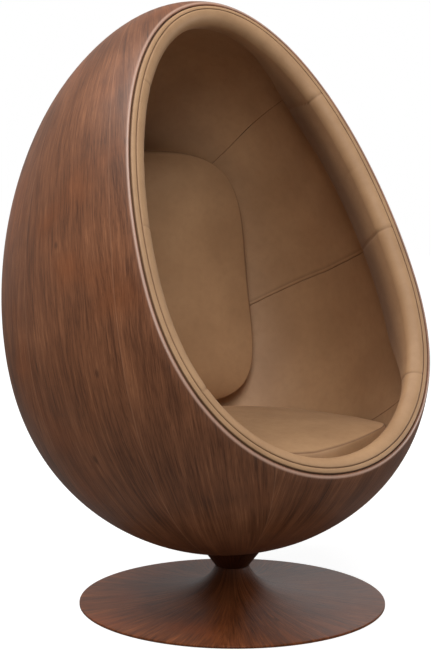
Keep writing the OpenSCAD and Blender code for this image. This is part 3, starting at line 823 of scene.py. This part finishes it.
def make_roll():
    """Row by row: from the band over the crest, back along the face, round the end, and forward
    again underneath."""
    count = len(LIP.line)
    deep = 1 * MM + RIM_DEEP * rim_share(LIP.line[:, 1])
    full = deep / RIM_DEEP
    run = deep * math.cos(RIM_TURN)
    leans = deep * math.sin(RIM_TURN)
    turn = 2 * math.pi * LIP.along / LIP.length
    sway = ROLL_SWAY * bumps(np.stack([np.cos(turn), np.sin(turn), 0 * turn], axis=1), 0.09, 3.1)
    rows, seam = [], []

    def add(inward, behind, dark, clear=ROLL_CLEAR, soft=RIM_SOFT):
        """One row, which behind the mouth runs softly into the lining."""
        behind = np.broadcast_to(behind, (count,))
        floor = inward_to(LINING_DEPTH, behind) + clear
        soft = 0.1 * MM + soft * ease((behind - MOUTH_BACK) / (40 * MM))
        eased = floor + soft * np.logaddexp(0, (inward - floor) / soft)
        rows.append(LIP.beside(np.where(behind > MOUTH_BACK, eased, inward), behind))
        seam.append(np.broadcast_to(dark, (count,)))

    joint, pinch = roll_dips(0)
    for a in np.linspace(ROLL_FRONT, RIM_TURN, 34):
        tuck = max(0.0, 1 - (a - ROLL_FRONT) / math.radians(8)) ** 2
        inner = ease((a - math.radians(-75)) / math.radians(60))
        r = ROLL_R + sway - ROLL_TUCK * tuck - CREST_JOINT * joint - CREST_PINCH * pinch * inner
        add(ROLL_IN + r * math.cos(a), ROLL_BEHIND + r * math.sin(a),
            np.maximum(joint * (0.3 + 0.3 * inner), tuck))
    # Along the face the mark grows from the joints into painted shade, which darkens the inside of
    # the rim
    for f in np.linspace(0, 1, 16)[1:-1]:
        joint, pinch = roll_dips(f)
        plump = ROLL_R + sway - FACE_JOINT * joint - FACE_PINCH * pinch
        r = plump + FACE_SWELL * math.sin(math.pi * f) * full
        add(ROLL_IN + r * math.cos(RIM_TURN) - leans * f,
            ROLL_BEHIND + r * math.sin(RIM_TURN) + run * f,
            np.maximum(joint * 0.6, RIM_PAINTED_SHADE * ease(f * 1.3) * full))
    # The end is as plump as the last row of the face, its joints run on, and it keeps full painted
    # shade
    for a in np.linspace(RIM_TURN, ROLL_HEEL, 24):
        late = ease((a - math.radians(30)) / math.radians(60))
        add(ROLL_IN - leans + plump * math.cos(a), ROLL_BEHIND + run + plump * math.sin(a),
            np.maximum(joint * 0.6, RIM_PAINTED_SHADE * full),
            ROLL_CLEAR - (ROLL_CLEAR + ROLL_DIVE) * late**2)
    heel = HEEL_BEHIND + run
    foot = np.minimum(heel - 1 * MM, MOUTH_BACK + 0.4 * MM)
    for f in np.linspace(0, 1, 6)[1:]:
        add(HEEL_IN, heel + (foot - heel) * f, 0, ROLL_UNDER * (f - 1), 0)
    for behind in np.linspace(HEEL_BEHIND - 2 * MM, 0, 5)[:-1]:
        add(on_chord(behind, 0), behind, 0)
    roll = hoop("edge_roll_leather", rows)
    mark(roll, "seam", np.vstack(seam))
    finish_piece(roll, HIDE, "tan_leather", "pod", "edge_roll")


# The band: its distance from the wood, how far it bulges, and how far its edges turn
BAND_GAP = 0.5 * MM
BAND_BULGE = 3.4 * MM
BAND_TILT = 0.6 * MM


def make_band():
    wood = inward_to(SHELL_T, 0.0) + BAND_GAP
    inner = on_chord(-BAND_PROUD, SEAM_GAP)
    rows = [LIP.beside(inward_to(SHELL_T, BAND_FOOT) + BAND_GAP, BAND_FOOT)]
    seam = [1.0]
    for a in np.linspace(0, math.pi, 17):
        share = (1 - math.cos(a)) / 2
        lift = BAND_BULGE * math.sin(a) ** 0.42 if 0 < a < math.pi else 0
        rows.append(LIP.beside(wood + (inner - wood) * share, BAND_TILT * (1 - 2 * share) - lift))
        seam.append(max(0.0, 1 - 8 * min(share, 1 - share)) ** 2)
    rows.append(LIP.beside(np.full(len(wood), on_chord(BAND_FOOT, SEAM_GAP)), BAND_FOOT))
    seam.append(1.0)
    band = hoop("edge_band_leather", rows[::-1])
    mark(band, "seam", np.repeat(seam[::-1], len(wood)))
    finish_piece(band, HIDE, "tan_leather", "pod", "edge_band")


# Lining

FRONT_Q = MOUTH_BACK - MOUTH_FRONT
HALF_GAP = SEAM_GAP / 2
# How deep and how wide the leather turns down into a seam, and how wide the seam is dark
SEAM_DEPTH = 1.1 * MM
SEAM_WIDTH = 3.6 * MM
SEAM_LINE = 1.5 * MM
# A lapped seam has a row of stitches beside it, and swells between them and its edge
STITCHES_AT = 8 * MM
STITCH_DEPTH = 0.7 * MM
LAP_AT = 4.6 * MM
LAP_SWELL = 0.5 * MM
# Size and height of the leather's broad and small unevenness
BROAD_LUMPS = (0.14, 1.1 * MM)
SMALL_LUMPS = (0.045, 0.25 * MM)


def sewn_dip(distance):
    """Depth of the leather where it turns down into a seam, at a distance from the seam."""
    k = np.clip(1 - distance / SEAM_WIDTH, 0, 1)
    return SEAM_DEPTH * (1 - np.sqrt(np.maximum(0, 1 - k * k)))


def seam_height(seam, a):
    top, drop, peak = seam
    return top - drop * np.sin(a - peak) ** 2


def back_angle(inset):
    return math.acos(HALF_GAP / (POD_HALF_W - inset))


def deck_s(a, inset):
    return root(lambda s: on_wall(s, a, inset)[..., 2] - SEAT_FOOT, inset - POD_BELOW, 0.1)


def lengths(grid):
    """Lengths along the rows and along the columns of a grid of points, from their starts."""
    across = np.linalg.norm(np.diff(grid, axis=1), axis=2)
    upward = np.linalg.norm(np.diff(grid, axis=0), axis=2)
    return (np.concatenate([np.zeros((grid.shape[0], 1)), np.cumsum(across, axis=1)], axis=1),
            np.concatenate([np.zeros((1, grid.shape[1])), np.cumsum(upward, axis=0)], axis=0))


def make_panel(name, node, place, rows, cols, sewn, lap=None, seed=0, mirror=False):
    """A lining panel. place gives its points for shares up and across and a depth; sewn says
    how dark the seam is that each edge (bottom, top, start, end) turns down into, or 0, and lap
    which of these edges is lapped."""
    def sheet(depth):
        return place(rows, cols, np.broadcast_to(depth, (len(rows), len(cols))))

    flat = sheet(LINING_DEPTH)
    across, upward = lengths(flat)
    edges = (upward, upward[-1:] - upward, across, across[:, -1:] - across)
    dip = np.zeros(flat.shape[:2])
    seam = np.zeros(flat.shape[:2])
    for distance, dark in zip(edges, sewn):
        if dark:
            dip = np.maximum(dip, sewn_dip(distance) * min(1, 0.25 + dark))
            seam = np.maximum(seam, dark * np.clip(1 - distance / SEAM_LINE, 0, 1))
    if lap is not None:
        stitches = edges[lap] - STITCHES_AT
        dip = dip + STITCH_DEPTH * hump(stitches, 1.1 * MM)
        dip = dip - LAP_SWELL * hump(edges[lap] - LAP_AT, 2.2 * MM)
        seam = np.maximum(seam, 0.5 * hump(stitches, 0.9 * MM))
    lumps = 0
    for step, (size, height) in enumerate((BROAD_LUMPS, SMALL_LUMPS)):
        lumps = lumps + height * bumps(flat, size, seed + 5 * step)
    face = sheet(LINING_DEPTH - dip + lumps)
    x, q, s = in_egg(face)
    # Painted shade on the lining beside the rim: full up to RIM_REACH behind the mouth, then
    # fading
    past_rim = ease((q + MOUTH_FRONT - RIM_REACH) / RIM_FADES)
    seam = np.maximum(seam, RIM_PAINTED_SHADE * (1 - past_rim) * rim_share(s))
    x, q, s = in_egg(sheet(LINING_OUT))
    back = in_room(x, np.maximum(q, FRONT_Q), s)
    if mirror:
        face, back = face[:, ::-1] * (-1, 1, 1), back[:, ::-1] * (-1, 1, 1)
        seam = seam[:, ::-1]
    panel = slab(name, face, back)
    mark(panel, "seam", np.concatenate([seam.ravel(), np.ones(seam.size)]))
    finish_piece(panel, HIDE, "tan_leather", "pod", node)


def side_place(s_at, cols, inset):
    """Points of a side panel, from the mouth to the back, at the heights that s_at gives."""
    def short_of_mouth(a):
        s = s_at(a)
        return bow(s) + half_d(s, LINING_DEPTH, -1) * np.sin(a) - FRONT_Q

    a0 = root(short_of_mouth, np.full((inset.shape[0], 1), -math.pi / 2), 0.0)
    a = a0 + (back_angle(LINING_DEPTH) - a0) * cols[None, :]
    return on_wall(s_at(a), a, inset)


def upper_place(rows, cols, inset):
    def s_at(a):
        low = seam_height(SIDE_SEAM, a) + HALF_GAP
        return low + (seam_height(HEAD_SEAM, a) - HALF_GAP - low) * rows[:, None]

    return side_place(s_at, cols, inset)


def lower_place(rows, cols, inset):
    def s_at(a):
        low = np.maximum(WELL_SEAM + HALF_GAP, deck_s(a, LINING_DEPTH))
        return low + (seam_height(SIDE_SEAM, a) - HALF_GAP - low) * rows[:, None]

    return side_place(s_at, cols, inset)


def well_place(rows, cols, inset):
    top = WELL_SEAM - HALF_GAP
    least = 6 * MM
    end = root(lambda a: deck_s(a, LINING_DEPTH) - WELL_SEAM + least, -math.pi / 2, math.pi / 2)
    a = end - (math.pi + 2 * end) * cols[None, :]
    a = np.broadcast_to(a, inset.shape)
    fold = np.where(a < -math.pi / 2, -math.pi - a, a)
    low = deck_s(fold, LINING_DEPTH)

    def past_mouth(s):
        return FRONT_Q - bow(s) - half_d(s, LINING_DEPTH, -1) * np.sin(fold)

    high = np.where(past_mouth(top) < 0, top, root(past_mouth, LINING_DEPTH - POD_BELOW, top))
    return on_wall(low + (high - low) * rows[:, None], a, inset)


def head_place(rows, cols, inset):
    back = seam_height(HEAD_SEAM, math.pi / 2) + 8 * MM
    end = bow(back) + half_d(back, LINING_DEPTH, 1)
    q = FRONT_Q + (end - FRONT_Q) * np.sin(math.pi / 2 * rows[:, None])
    top = ring_end(q, LINING_DEPTH, 1)

    def over_seam(s):
        e = q - bow(s)
        a = np.arcsin(np.clip(e / np.maximum(half_d(s, LINING_DEPTH, e), 1e-6), -1, 1))
        return s - seam_height(HEAD_SEAM, a) - HALF_GAP

    low = root(over_seam, 0.3, top)
    a = math.pi / 2 - math.pi * cols[None, :]
    s = low + (top - low) * np.cos(a)
    x = np.sign(np.round(a, 9)) * side_at(q, s, LINING_DEPTH)
    flat = in_room(x, np.broadcast_to(q, s.shape), s)
    way = in_room(0.0, float(bow(0.35)), 0.35) - flat
    way /= np.linalg.norm(way, axis=2)[..., None]
    return flat + way * (inset - LINING_DEPTH)[..., None]


def make_lining():
    """The panels, each spaced by about how long the real one is upward and across."""
    fine = 7 * MM
    cols = spaced(0.95, fine, False, True)
    seed = 0
    for part, place, length, sewn, lap in (
        ("upper", upper_place, 0.36, (0.75, 0.1, 0, 0.3), 0),
        ("lower", lower_place, 0.4, (0.4, 0.75, 0, 0.3), None),
    ):
        rows = spaced(length, fine, True, True)
        for side in ("right", "left"):
            seed += 1
            make_panel(f"{part}_side_leather_{side}", f"{part}_lining_{side}", place, rows, cols,
                       sewn, lap, seed, mirror=side == "left")
    rows = spaced(0.12, fine, False, True)
    cols = spaced(1.3, fine, True, True)
    make_panel("well_leather", "well_lining", well_place, rows, cols, (0, 0.4, 0.4, 0.4), seed=5)
    rows = spaced(0.55, fine, False, True)
    cols = spaced(0.8, fine, True, True)
    make_panel("head_leather", "head_lining", head_place, rows, cols, (0, 0.1, 0.1, 0.1), seed=6)


# Cushions


def disc_grid(n):
    """Radius and angle of a square grid of points that is bent to fill a disc."""
    line = np.linspace(-1, 1, n)
    u, v = np.meshgrid(line, line, indexing="ij")
    x = u * np.sqrt(1 - v * v / 2)
    y = v * np.sqrt(1 - u * u / 2)
    return np.minimum(1, np.hypot(x, y)), np.arctan2(y, x)


def rim_of(n):
    """Indices of a square grid's border, in order round it."""
    at = np.arange(n * n).reshape(n, n)
    return np.concatenate([at[:-1, 0], at[-1, :-1], at[:0:-1, -1], at[0, :0:-1]])


def sewn_cushion(name, n, top, side, bottom, levels):
    """A closed cushion: a top sheet, sides in rows between its two seams, and a bottom sheet.
    top and bottom place a radius share and an angle; side places a level and an angle. Gives
    the cushion, and which of its points lie on the seams."""
    r, a = disc_grid(n)
    border = rim_of(n)
    rows = [side(level, a.ravel()[border]) for level in levels]
    points = np.vstack([top(r, a).reshape(-1, 3), bottom(r, a).reshape(-1, 3), *rows])
    at = np.arange(n * n).reshape(n, n)
    faces = squares(at, under=True) + squares(at + n * n)
    m = len(border)
    loops = [border]
    for k in range(len(levels)):
        loops.append(2 * n * n + k * m + np.arange(m))
    loops.append(border + n * n)
    for upper, lower in zip(loops[:-1], loops[1:]):
        corners = [np.roll(upper, -1), upper, lower, np.roll(lower, -1)]
        faces += np.stack(corners, axis=-1).tolist()
    obj = make_object(name, points, faces)
    seams = np.concatenate([loops[0], loops[-1]])
    dark = np.zeros(len(points))
    dark[seams] = 1
    mark(obj, "seam", dark)
    return obj, seams


# How a cushion swells as cloth: for how many steps, how far at most, and in how many rounds its
# swelling is evened afterwards
CLOTH = {
    "quality": 6,
    "mass": 0.25,
    "tension_stiffness": 18,
    "compression_stiffness": 18,
    "shear_stiffness": 8,
    "bending_stiffness": 1.2,
    "vertex_group_mass": "held",
    "use_pressure": True,
    "uniform_pressure_force": 4.0,
}
CLOTH_STEPS = 20
SWELLS_MOST = 24 * MM
EVEN_ROUNDS = 30


def coordinates(obj):
    co = np.zeros(len(obj.data.vertices) * 3)
    obj.data.vertices.foreach_get("co", co)
    return co.reshape(-1, 3)


def evened(obj, shift, seams):
    """Takes small folds out of how far each point has moved; points of the seams stay."""
    ends = np.zeros(len(obj.data.edges) * 2, int)
    obj.data.edges.foreach_get("vertices", ends)
    first, second = ends.reshape(-1, 2).T
    count = np.bincount(ends, minlength=len(shift))[:, None]
    for _ in range(EVEN_ROUNDS):
        around = np.zeros_like(shift)
        np.add.at(around, first, shift[second])
        np.add.at(around, second, shift[first])
        shift = (shift + around / count) / 2
        shift[seams] = 0
    return shift


def inflate(obj, seams, keep_clear):
    """Blows the cushion up as cloth, with its seams held, and limits how far a point goes."""
    start = coordinates(obj)
    held = obj.vertex_groups.new(name="held")
    held.add(seams.tolist(), 1.0, "REPLACE")
    cloth = obj.modifiers.new("cloth", "CLOTH")
    for key, value in CLOTH.items():
        setattr(cloth.settings, key, value)
    cloth.settings.effector_weights.gravity = 0
    cloth.collision_settings.use_collision = False
    for step in range(1, CLOTH_STEPS + 1):
        bpy.context.scene.frame_set(step)
    bpy.context.view_layer.update()
    moved = coordinates(obj.evaluated_get(bpy.context.evaluated_depsgraph_get()))
    obj.modifiers.remove(cloth)
    obj.vertex_groups.clear()
    bpy.context.scene.frame_set(1)
    shift = evened(obj, moved - start, seams)
    far = np.maximum(np.linalg.norm(shift, axis=1), 1e-9)
    start = start + shift * np.minimum(1, SWELLS_MOST / far)[:, None]
    obj.data.vertices.foreach_set("co", keep_clear(start).ravel())
    obj.data.update()


def refine(obj):
    """One subdivision, applied."""
    smooth = obj.modifiers.new("smooth", "SUBSURF")
    smooth.levels = 1
    shaped = obj.evaluated_get(bpy.context.evaluated_depsgraph_get())
    mesh = bpy.data.meshes.new_from_object(shaped)
    obj.modifiers.remove(smooth)
    obj.data = mesh
    mesh.shade_smooth()


# The seat starts smaller than it will be, with sides that swell a little already, most of all in
# front. SEAT_CORNER says how sharply its round sides meet its front
SEAT_PULL = 4 * MM
SIDE_SWELL = 1.5 * MM
FRONT_SWELL = 8 * MM
SEAT_CORNER = 34
# Its top seam: how far below the edge of its top it lies, how far it lifts on both sides of the
# front, how many degrees round and over how many, and how far the right side is higher
SEAM_BELOW = 4 * MM
SEAM_LIFT = 20.5 * MM
SEAM_LIFT_AT = 44
SEAM_LIFT_OVER = 30
SEAM_TILT = 2.5 * MM
# Where the back cushion presses it down: from this far back and over this length, to this far on
# each side and fading over this width, and the share of its crown that it loses
PRESSED_Y = 0.20
PRESSED_OVER = 0.07
PRESSED_X = 0.22
PRESSED_FADES = 0.08
PRESSED_SHARE = 0.8


def level_reach(a, z, inset):
    """Distance from the middle of the seat to the egg, level at height z."""
    a, z = np.broadcast_arrays(a, z)
    return root(lambda r: outside(polar(r, a, z, DECK_Y), inset),
                np.zeros(a.shape), POD_HALF_W + POD_BACK)


def front_reach(a):
    """Distance from the middle of the seat to the arc of its front."""
    m = DECK_Y - SEAT_FRONT_Y
    c = m * np.sin(a)
    return -c + np.sqrt(c * c - m * m + SEAT_FRONT_R**2)


def crowned(share):
    return np.maximum(0, 1 - share**3) ** 0.8


def seat_rim(a, z, pull):
    """Radius of the seat cushion: it follows the lining, and an arc across the front."""
    wall = level_reach(a, np.minimum(z, SEAT_EDGE_Z), CUSHION_IN) - pull
    front = front_reach(a) - pull
    return (wall**-SEAT_CORNER + front**-SEAT_CORNER) ** (-1 / SEAT_CORNER)


def seam_rise(a):
    """Height of the seat's top seam: it lifts on both sides of the middle of the front."""
    turn = np.abs(np.degrees(a) + 90)
    lift = SEAM_LIFT * hump(turn - SEAM_LIFT_AT, SEAM_LIFT_OVER)
    tilt = SEAM_TILT * np.tanh(np.cos(a) * 6) * (np.sin(a) < 0)
    return SEAT_EDGE_Z - SEAM_BELOW + lift + tilt


def pressed(p):
    """How far the back cushion presses the seat down, 0 to 1."""
    behind = ease((p[..., 1] - PRESSED_Y) / PRESSED_OVER)
    return behind * (1 - ease((np.abs(p[..., 0]) - PRESSED_X) / PRESSED_FADES))


def make_seat():
    low = SEAT_FOOT + 2 * MM

    def top(share, a):
        high = seam_rise(a)
        p = polar(seat_rim(a, high, SEAT_PULL) * share, a, high, DECK_Y)
        level = high + (SEAT_EDGE_Z - high) * (1 - share**3)
        p[..., 2] = level + SEAT_CROWN * crowned(share) * (1 - PRESSED_SHARE * pressed(p))
        return p

    def side(level, a):
        z = low + (seam_rise(a) - low) * level
        swell = SIDE_SWELL + (FRONT_SWELL - SIDE_SWELL) * ease(-np.sin(a) * 2)
        pull = SEAT_PULL - swell * math.sin(math.pi * level) ** 0.6
        return polar(seat_rim(a, z, pull), a, z, DECK_Y)

    def bottom(share, a):
        return polar(seat_rim(a, low, SEAT_PULL) * share, a, low, DECK_Y)

    def keep_clear(p):
        x, y = p[:, 0], p[:, 1] - DECK_Y
        a = np.arctan2(y, x)
        z = np.maximum(p[:, 2], SEAT_FOOT)
        wall = level_reach(a, np.minimum(z, SEAT_EDGE_Z + 0.02), CUSHION_IN - 1 * MM)
        return polar(np.minimum(np.hypot(x, y), wall), a, z, DECK_Y)

    levels = [0.985, 0.95, 0.86, 0.72, 0.58, 0.44, 0.3, 0.16, 0.06]
    seat, seams = sewn_cushion("seat_cushion_leather", 76, top, side, bottom, levels)
    inflate(seat, seams, keep_clear)
    refine(seat)
    finish_piece(seat, HIDE, "tan_leather", "pod", "seat_cushion")


BACK_MID_Z = (BACK_LOW_Z + BACK_TOP_Z) / 2
BACK_HALF_H = (BACK_TOP_Z - BACK_LOW_Z) / 2
# How square the corners of the back cushion are, and how much smaller it starts, all round and
# off the lining behind it
BACK_POWER_TOP = 3.9
BACK_POWER_LOW = 4.3
BACK_PULL = 3 * MM
BACK_OFF = 2 * MM


def wall_y(x, z, inset):
    x, z = np.broadcast_arrays(x, z)
    return root(lambda y: outside(np.stack([x, y, z], axis=-1), inset),
                np.full(x.shape, DECK_Y), POD_HALF_W + POD_BACK)


def back_half(rise):
    """Half width of the back cushion at a height above its middle."""
    return BACK_HALF_W - BACK_NARROWS * rise - BACK_ROUNDS * rise**2


def back_outline(share, a):
    power = np.where(np.sin(a) > 0, BACK_POWER_TOP, BACK_POWER_LOW)
    k = (np.abs(np.cos(a)) ** power + np.abs(np.sin(a)) ** power) ** (-1 / power) * share
    rise = BACK_HALF_H * k * np.sin(a)
    return back_half(rise) * k * np.cos(a), BACK_MID_Z + rise


def back_edge_y(z):
    s = np.clip((z - BACK_MID_Z) / BACK_HALF_H, -0.97, 0.97)
    power = np.where(s > 0, BACK_POWER_TOP, BACK_POWER_LOW)
    half = back_half(z - BACK_MID_Z)
    return wall_y(half * (1 - np.abs(s) ** power) ** (1 / power), z, CUSHION_IN)


def make_back():
    shrink = 1 - BACK_PULL / BACK_HALF_W

    def front_y(z):
        return back_edge_y(z) - BACK_EDGE_T

    def rear_y(x, z):
        return wall_y(x, z, CUSHION_IN) - BACK_OFF

    def top(share, a):
        x, z = back_outline(share * shrink, a)
        return np.stack([x, front_y(z) - BACK_CROWN * crowned(share), z], axis=-1)

    def bottom(share, a):
        x, z = back_outline(share * shrink, a)
        return np.stack([x, rear_y(x, z), z], axis=-1)

    def side(level, a):
        x, z = back_outline(shrink, a)
        rear = rear_y(x, z)
        return np.stack([x, rear + (front_y(z) - rear) * level, z], axis=-1)

    def keep_clear(p):
        rear = wall_y(p[:, 0], p[:, 2], CUSHION_IN - 0.8 * MM)
        return np.stack([p[:, 0], np.minimum(p[:, 1], rear), p[:, 2]], axis=1)

    levels = [0.95, 0.86, 0.72, 0.55, 0.38, 0.2, 0.07]
    back, seams = sewn_cushion("back_cushion_leather", 70, top, side, bottom, levels)
    inflate(back, seams, keep_clear)
    refine(back)
    finish_piece(back, HIDE, "tan_leather", "pod", "back_cushion")


# Base


def flare_r(share):
    return WAIST_R + (BASE_R - WAIST_R) * share


def flare_z(share):
    low = PAD_T + RIM_T
    foot = low + DISC_RISE
    curl = (1 - share) / (1 + FLARE_STEEP * share)
    return low + DISC_RISE * (1 - share) + (WAIST_Z - foot) * curl * (1 - share / 2)


def make_neck():
    """The cone under the egg: its top follows the egg's surface."""
    count = 160
    a = 2 * math.pi * np.arange(count) / count
    over = np.full(count, 0.2)
    gap = 0.2 * MM
    chamfer = 0.8 * MM

    def cone_r(z):
        rise = z - NECK_Z
        return WAIST_R + NECK_OPENS * rise + NECK_FLARES * (rise / NECK_TALL) ** 2

    def egg_z(r_at, low):
        """Height just under the egg over the radius that r_at gives for each height."""
        return root(lambda z: -outside(polar(r_at(z), a, z), 0), low, over) - gap

    low = np.full(count, NECK_Z)
    high = egg_z(cone_r, low)
    rows = [polar(NECK_RECESS, a, NECK_STEP_Z), polar(NECK_BORE, a, NECK_STEP_Z)]
    rows += [polar(NECK_BORE, a, low), polar(WAIST_R - chamfer, a, low)]
    for f in np.linspace(0, 1, 20) ** 1.3:
        z = low + chamfer * (1 - f) ** 8 + (high - low) * f
        rows.append(polar(cone_r(z), a, z))
    rim = cone_r(high)
    for f in (0.3, 0.65, 1):
        r = rim + (NECK_RECESS - rim) * f
        rows.append(polar(r, a, egg_z(lambda z: r, np.full(count, 0.1))))
    neck = hoop("walnut_neck", rows[::-1])
    finish_piece(neck, WALNUT_NECK_PAINTED_SHADE, "walnut_veneer", "pod", "neck_collar")


def make_base():
    """Turned from one outline: down the flare, round its edge, and back up underneath."""
    edge = 1.1 * MM
    chamfer = 0.6 * MM
    plate_r = PLATE_R + 0.3 * MM
    lid = PLATE_TOP + 0.3 * MM
    top = PAD_T + RIM_T
    profile = [(flare_r(f), flare_z(f)) for f in [(k / 70) ** 2 for k in range(70)]]
    for k in range(7):
        a = math.pi / 2 * k / 6
        profile.append((BASE_R - edge + edge * math.sin(a), top - edge + edge * math.cos(a)))
    profile += [(BASE_R, PAD_T + chamfer), (BASE_R - chamfer, PAD_T)]
    profile += [(plate_r, PAD_T), (plate_r, lid)]
    for k in range(24, -1, -1):
        f = (k / 24) ** 2
        r = flare_r(f) - COVER_T
        z = flare_z(f) - COVER_T
        if z > lid and r < PLATE_R:
            profile.append((r, WAIST_Z if f == 0 else z))
    a = 2 * math.pi * np.arange(256) / 256
    base = hoop("walnut_base", [polar(r, a, z) for r, z in profile[::-1]])
    finish_piece(base, WALNUT_BASE, "walnut_veneer", "base", "base_cover")


# Hidden and metal pieces keep their own solids

repaint(FELT, "floor_pad")
repaint(STEEL, "base_plate", "post_flange", "support_post", "spindle", "spindle_clip",
        "mounting_plate", "inner_plate")
repaint(ZINC, "flange_screws", "mounting_bolts", "bolt_washers", "deck_screws")
repaint(BRONZE, "lower_bush", "upper_bush", "bearing_cage")
repaint(BEARING, "lower_race", "upper_race", "bearing_balls")
repaint(PLY, "packing_block", "tack_ring", "deck_ring", "seat_deck")

make_shell()
make_roll()
make_band()
make_lining()
make_seat()
make_back()
make_neck()
make_base()


# Camera, floor and light


def make_camera():
    """Stands round the chair from its front, at a distance and a height, and is turned, tipped
    down and rolled a little from looking straight at its axis."""
    around, distance, height = -0.594, 2.7192, 0.7986
    yaw, pitch, roll = 0.0137, 0.073, -0.0022
    data = bpy.data.cameras.new("camera")
    data.sensor_fit = "VERTICAL"
    data.sensor_height = 36
    data.sensor_width = 36
    data.lens = 70.54
    camera = bpy.data.objects.new("camera", data)
    camera.location = (math.sin(around) * distance, -math.cos(around) * distance, height)
    turn = around + yaw
    level = math.cos(pitch)
    way = Vector((-math.sin(turn) * level, math.cos(turn) * level, -math.sin(pitch)))
    aimed = Quaternion(way, roll) @ way.to_track_quat("-Z", "Y")
    camera.rotation_euler = aimed.to_euler()
    bpy.context.scene.collection.objects.link(camera)
    bpy.context.scene.camera = camera


def make_floor():
    """Pale grey under the light, and white to the camera apart from shadows."""
    half = 30
    points = [(-half, -half, 0), (half, -half, 0), (half, half, 0), (-half, half, 0)]
    floor = make_object("floor", points, [(0, 1, 2, 3)], smooth=False)
    shop = Shop("studio_floor")
    camera_ray = shop.node("ShaderNodeLightPath", {}, {})[0]
    x, y = shop.place()[:2]
    far = (x * x + y * y).fn("SQRT").ramp(1.0, 4.0)
    plain = shop.node("ShaderNodeBsdfDiffuse", {}, {"Color": (0.36, 0.36, 0.36, 1)})[0]
    shine = camera_ray * (0.9 + far * 0.15)
    glow = shop.node("ShaderNodeEmission", {}, {"Color": (1, 1, 1, 1), "Strength": shine})[0]
    both = shop.node("ShaderNodeAddShader", {}, {0: plain, 1: glow})[0]
    floor.data.materials.append(shop.surface(both))


def make_world():
    """White to the camera, about half as bright in reflections, and dim as a light."""
    shop = Shop("studio", world=True)
    path = shop.node("ShaderNodeLightPath", {}, {})
    camera_ray, glossy_ray = path[0], path[3]
    seen = camera_ray.fn("MAXIMUM", glossy_ray * 0.5)
    limits = {"Value": seen, "To Min": 0.15, "To Max": 1.0}
    strength = shop.node("ShaderNodeMapRange", {}, limits)[0]
    white = {"Color": (1, 1, 1, 1), "Strength": strength}
    world = shop.surface(shop.node("ShaderNodeBackground", {}, white)[0])
    bpy.context.scene.world = world


def softbox(name, place, aim, width, height, watts):
    data = bpy.data.lights.new(name, "AREA")
    data.shape = "RECTANGLE"
    data.size = width
    data.size_y = height
    data.energy = watts
    lamp = bpy.data.objects.new(name, data)
    lamp.location = place
    lamp.rotation_euler = (Vector(aim) - Vector(place)).to_track_quat("-Z", "Y").to_euler()
    bpy.context.scene.collection.objects.link(lamp)


make_camera()
make_floor()
make_world()
softbox("overhead", (-0.4, -1.9, 4.2), (0, 0, 0.7), 2.0, 1.5, 56)
softbox("top", (-1.9, 0.9, 4.0), (0, 0, 0.9), 1.6, 1.6, 96)
softbox("key", (-2.4, -3.4, 3.1), (0, 0, 0.7), 1.8, 1.8, 66)
softbox("right", (3.0, -1.9, 1.1), (0, 0, 0.3), 1.0, 1.0, 24)
softbox("behind", (2.5, 2.3, 1.3), (0, 0, 0.1), 1.2, 0.8, 5)

scene = bpy.context.scene
scene.view_settings.view_transform = "Standard"

bpy.context.view_layer.update()
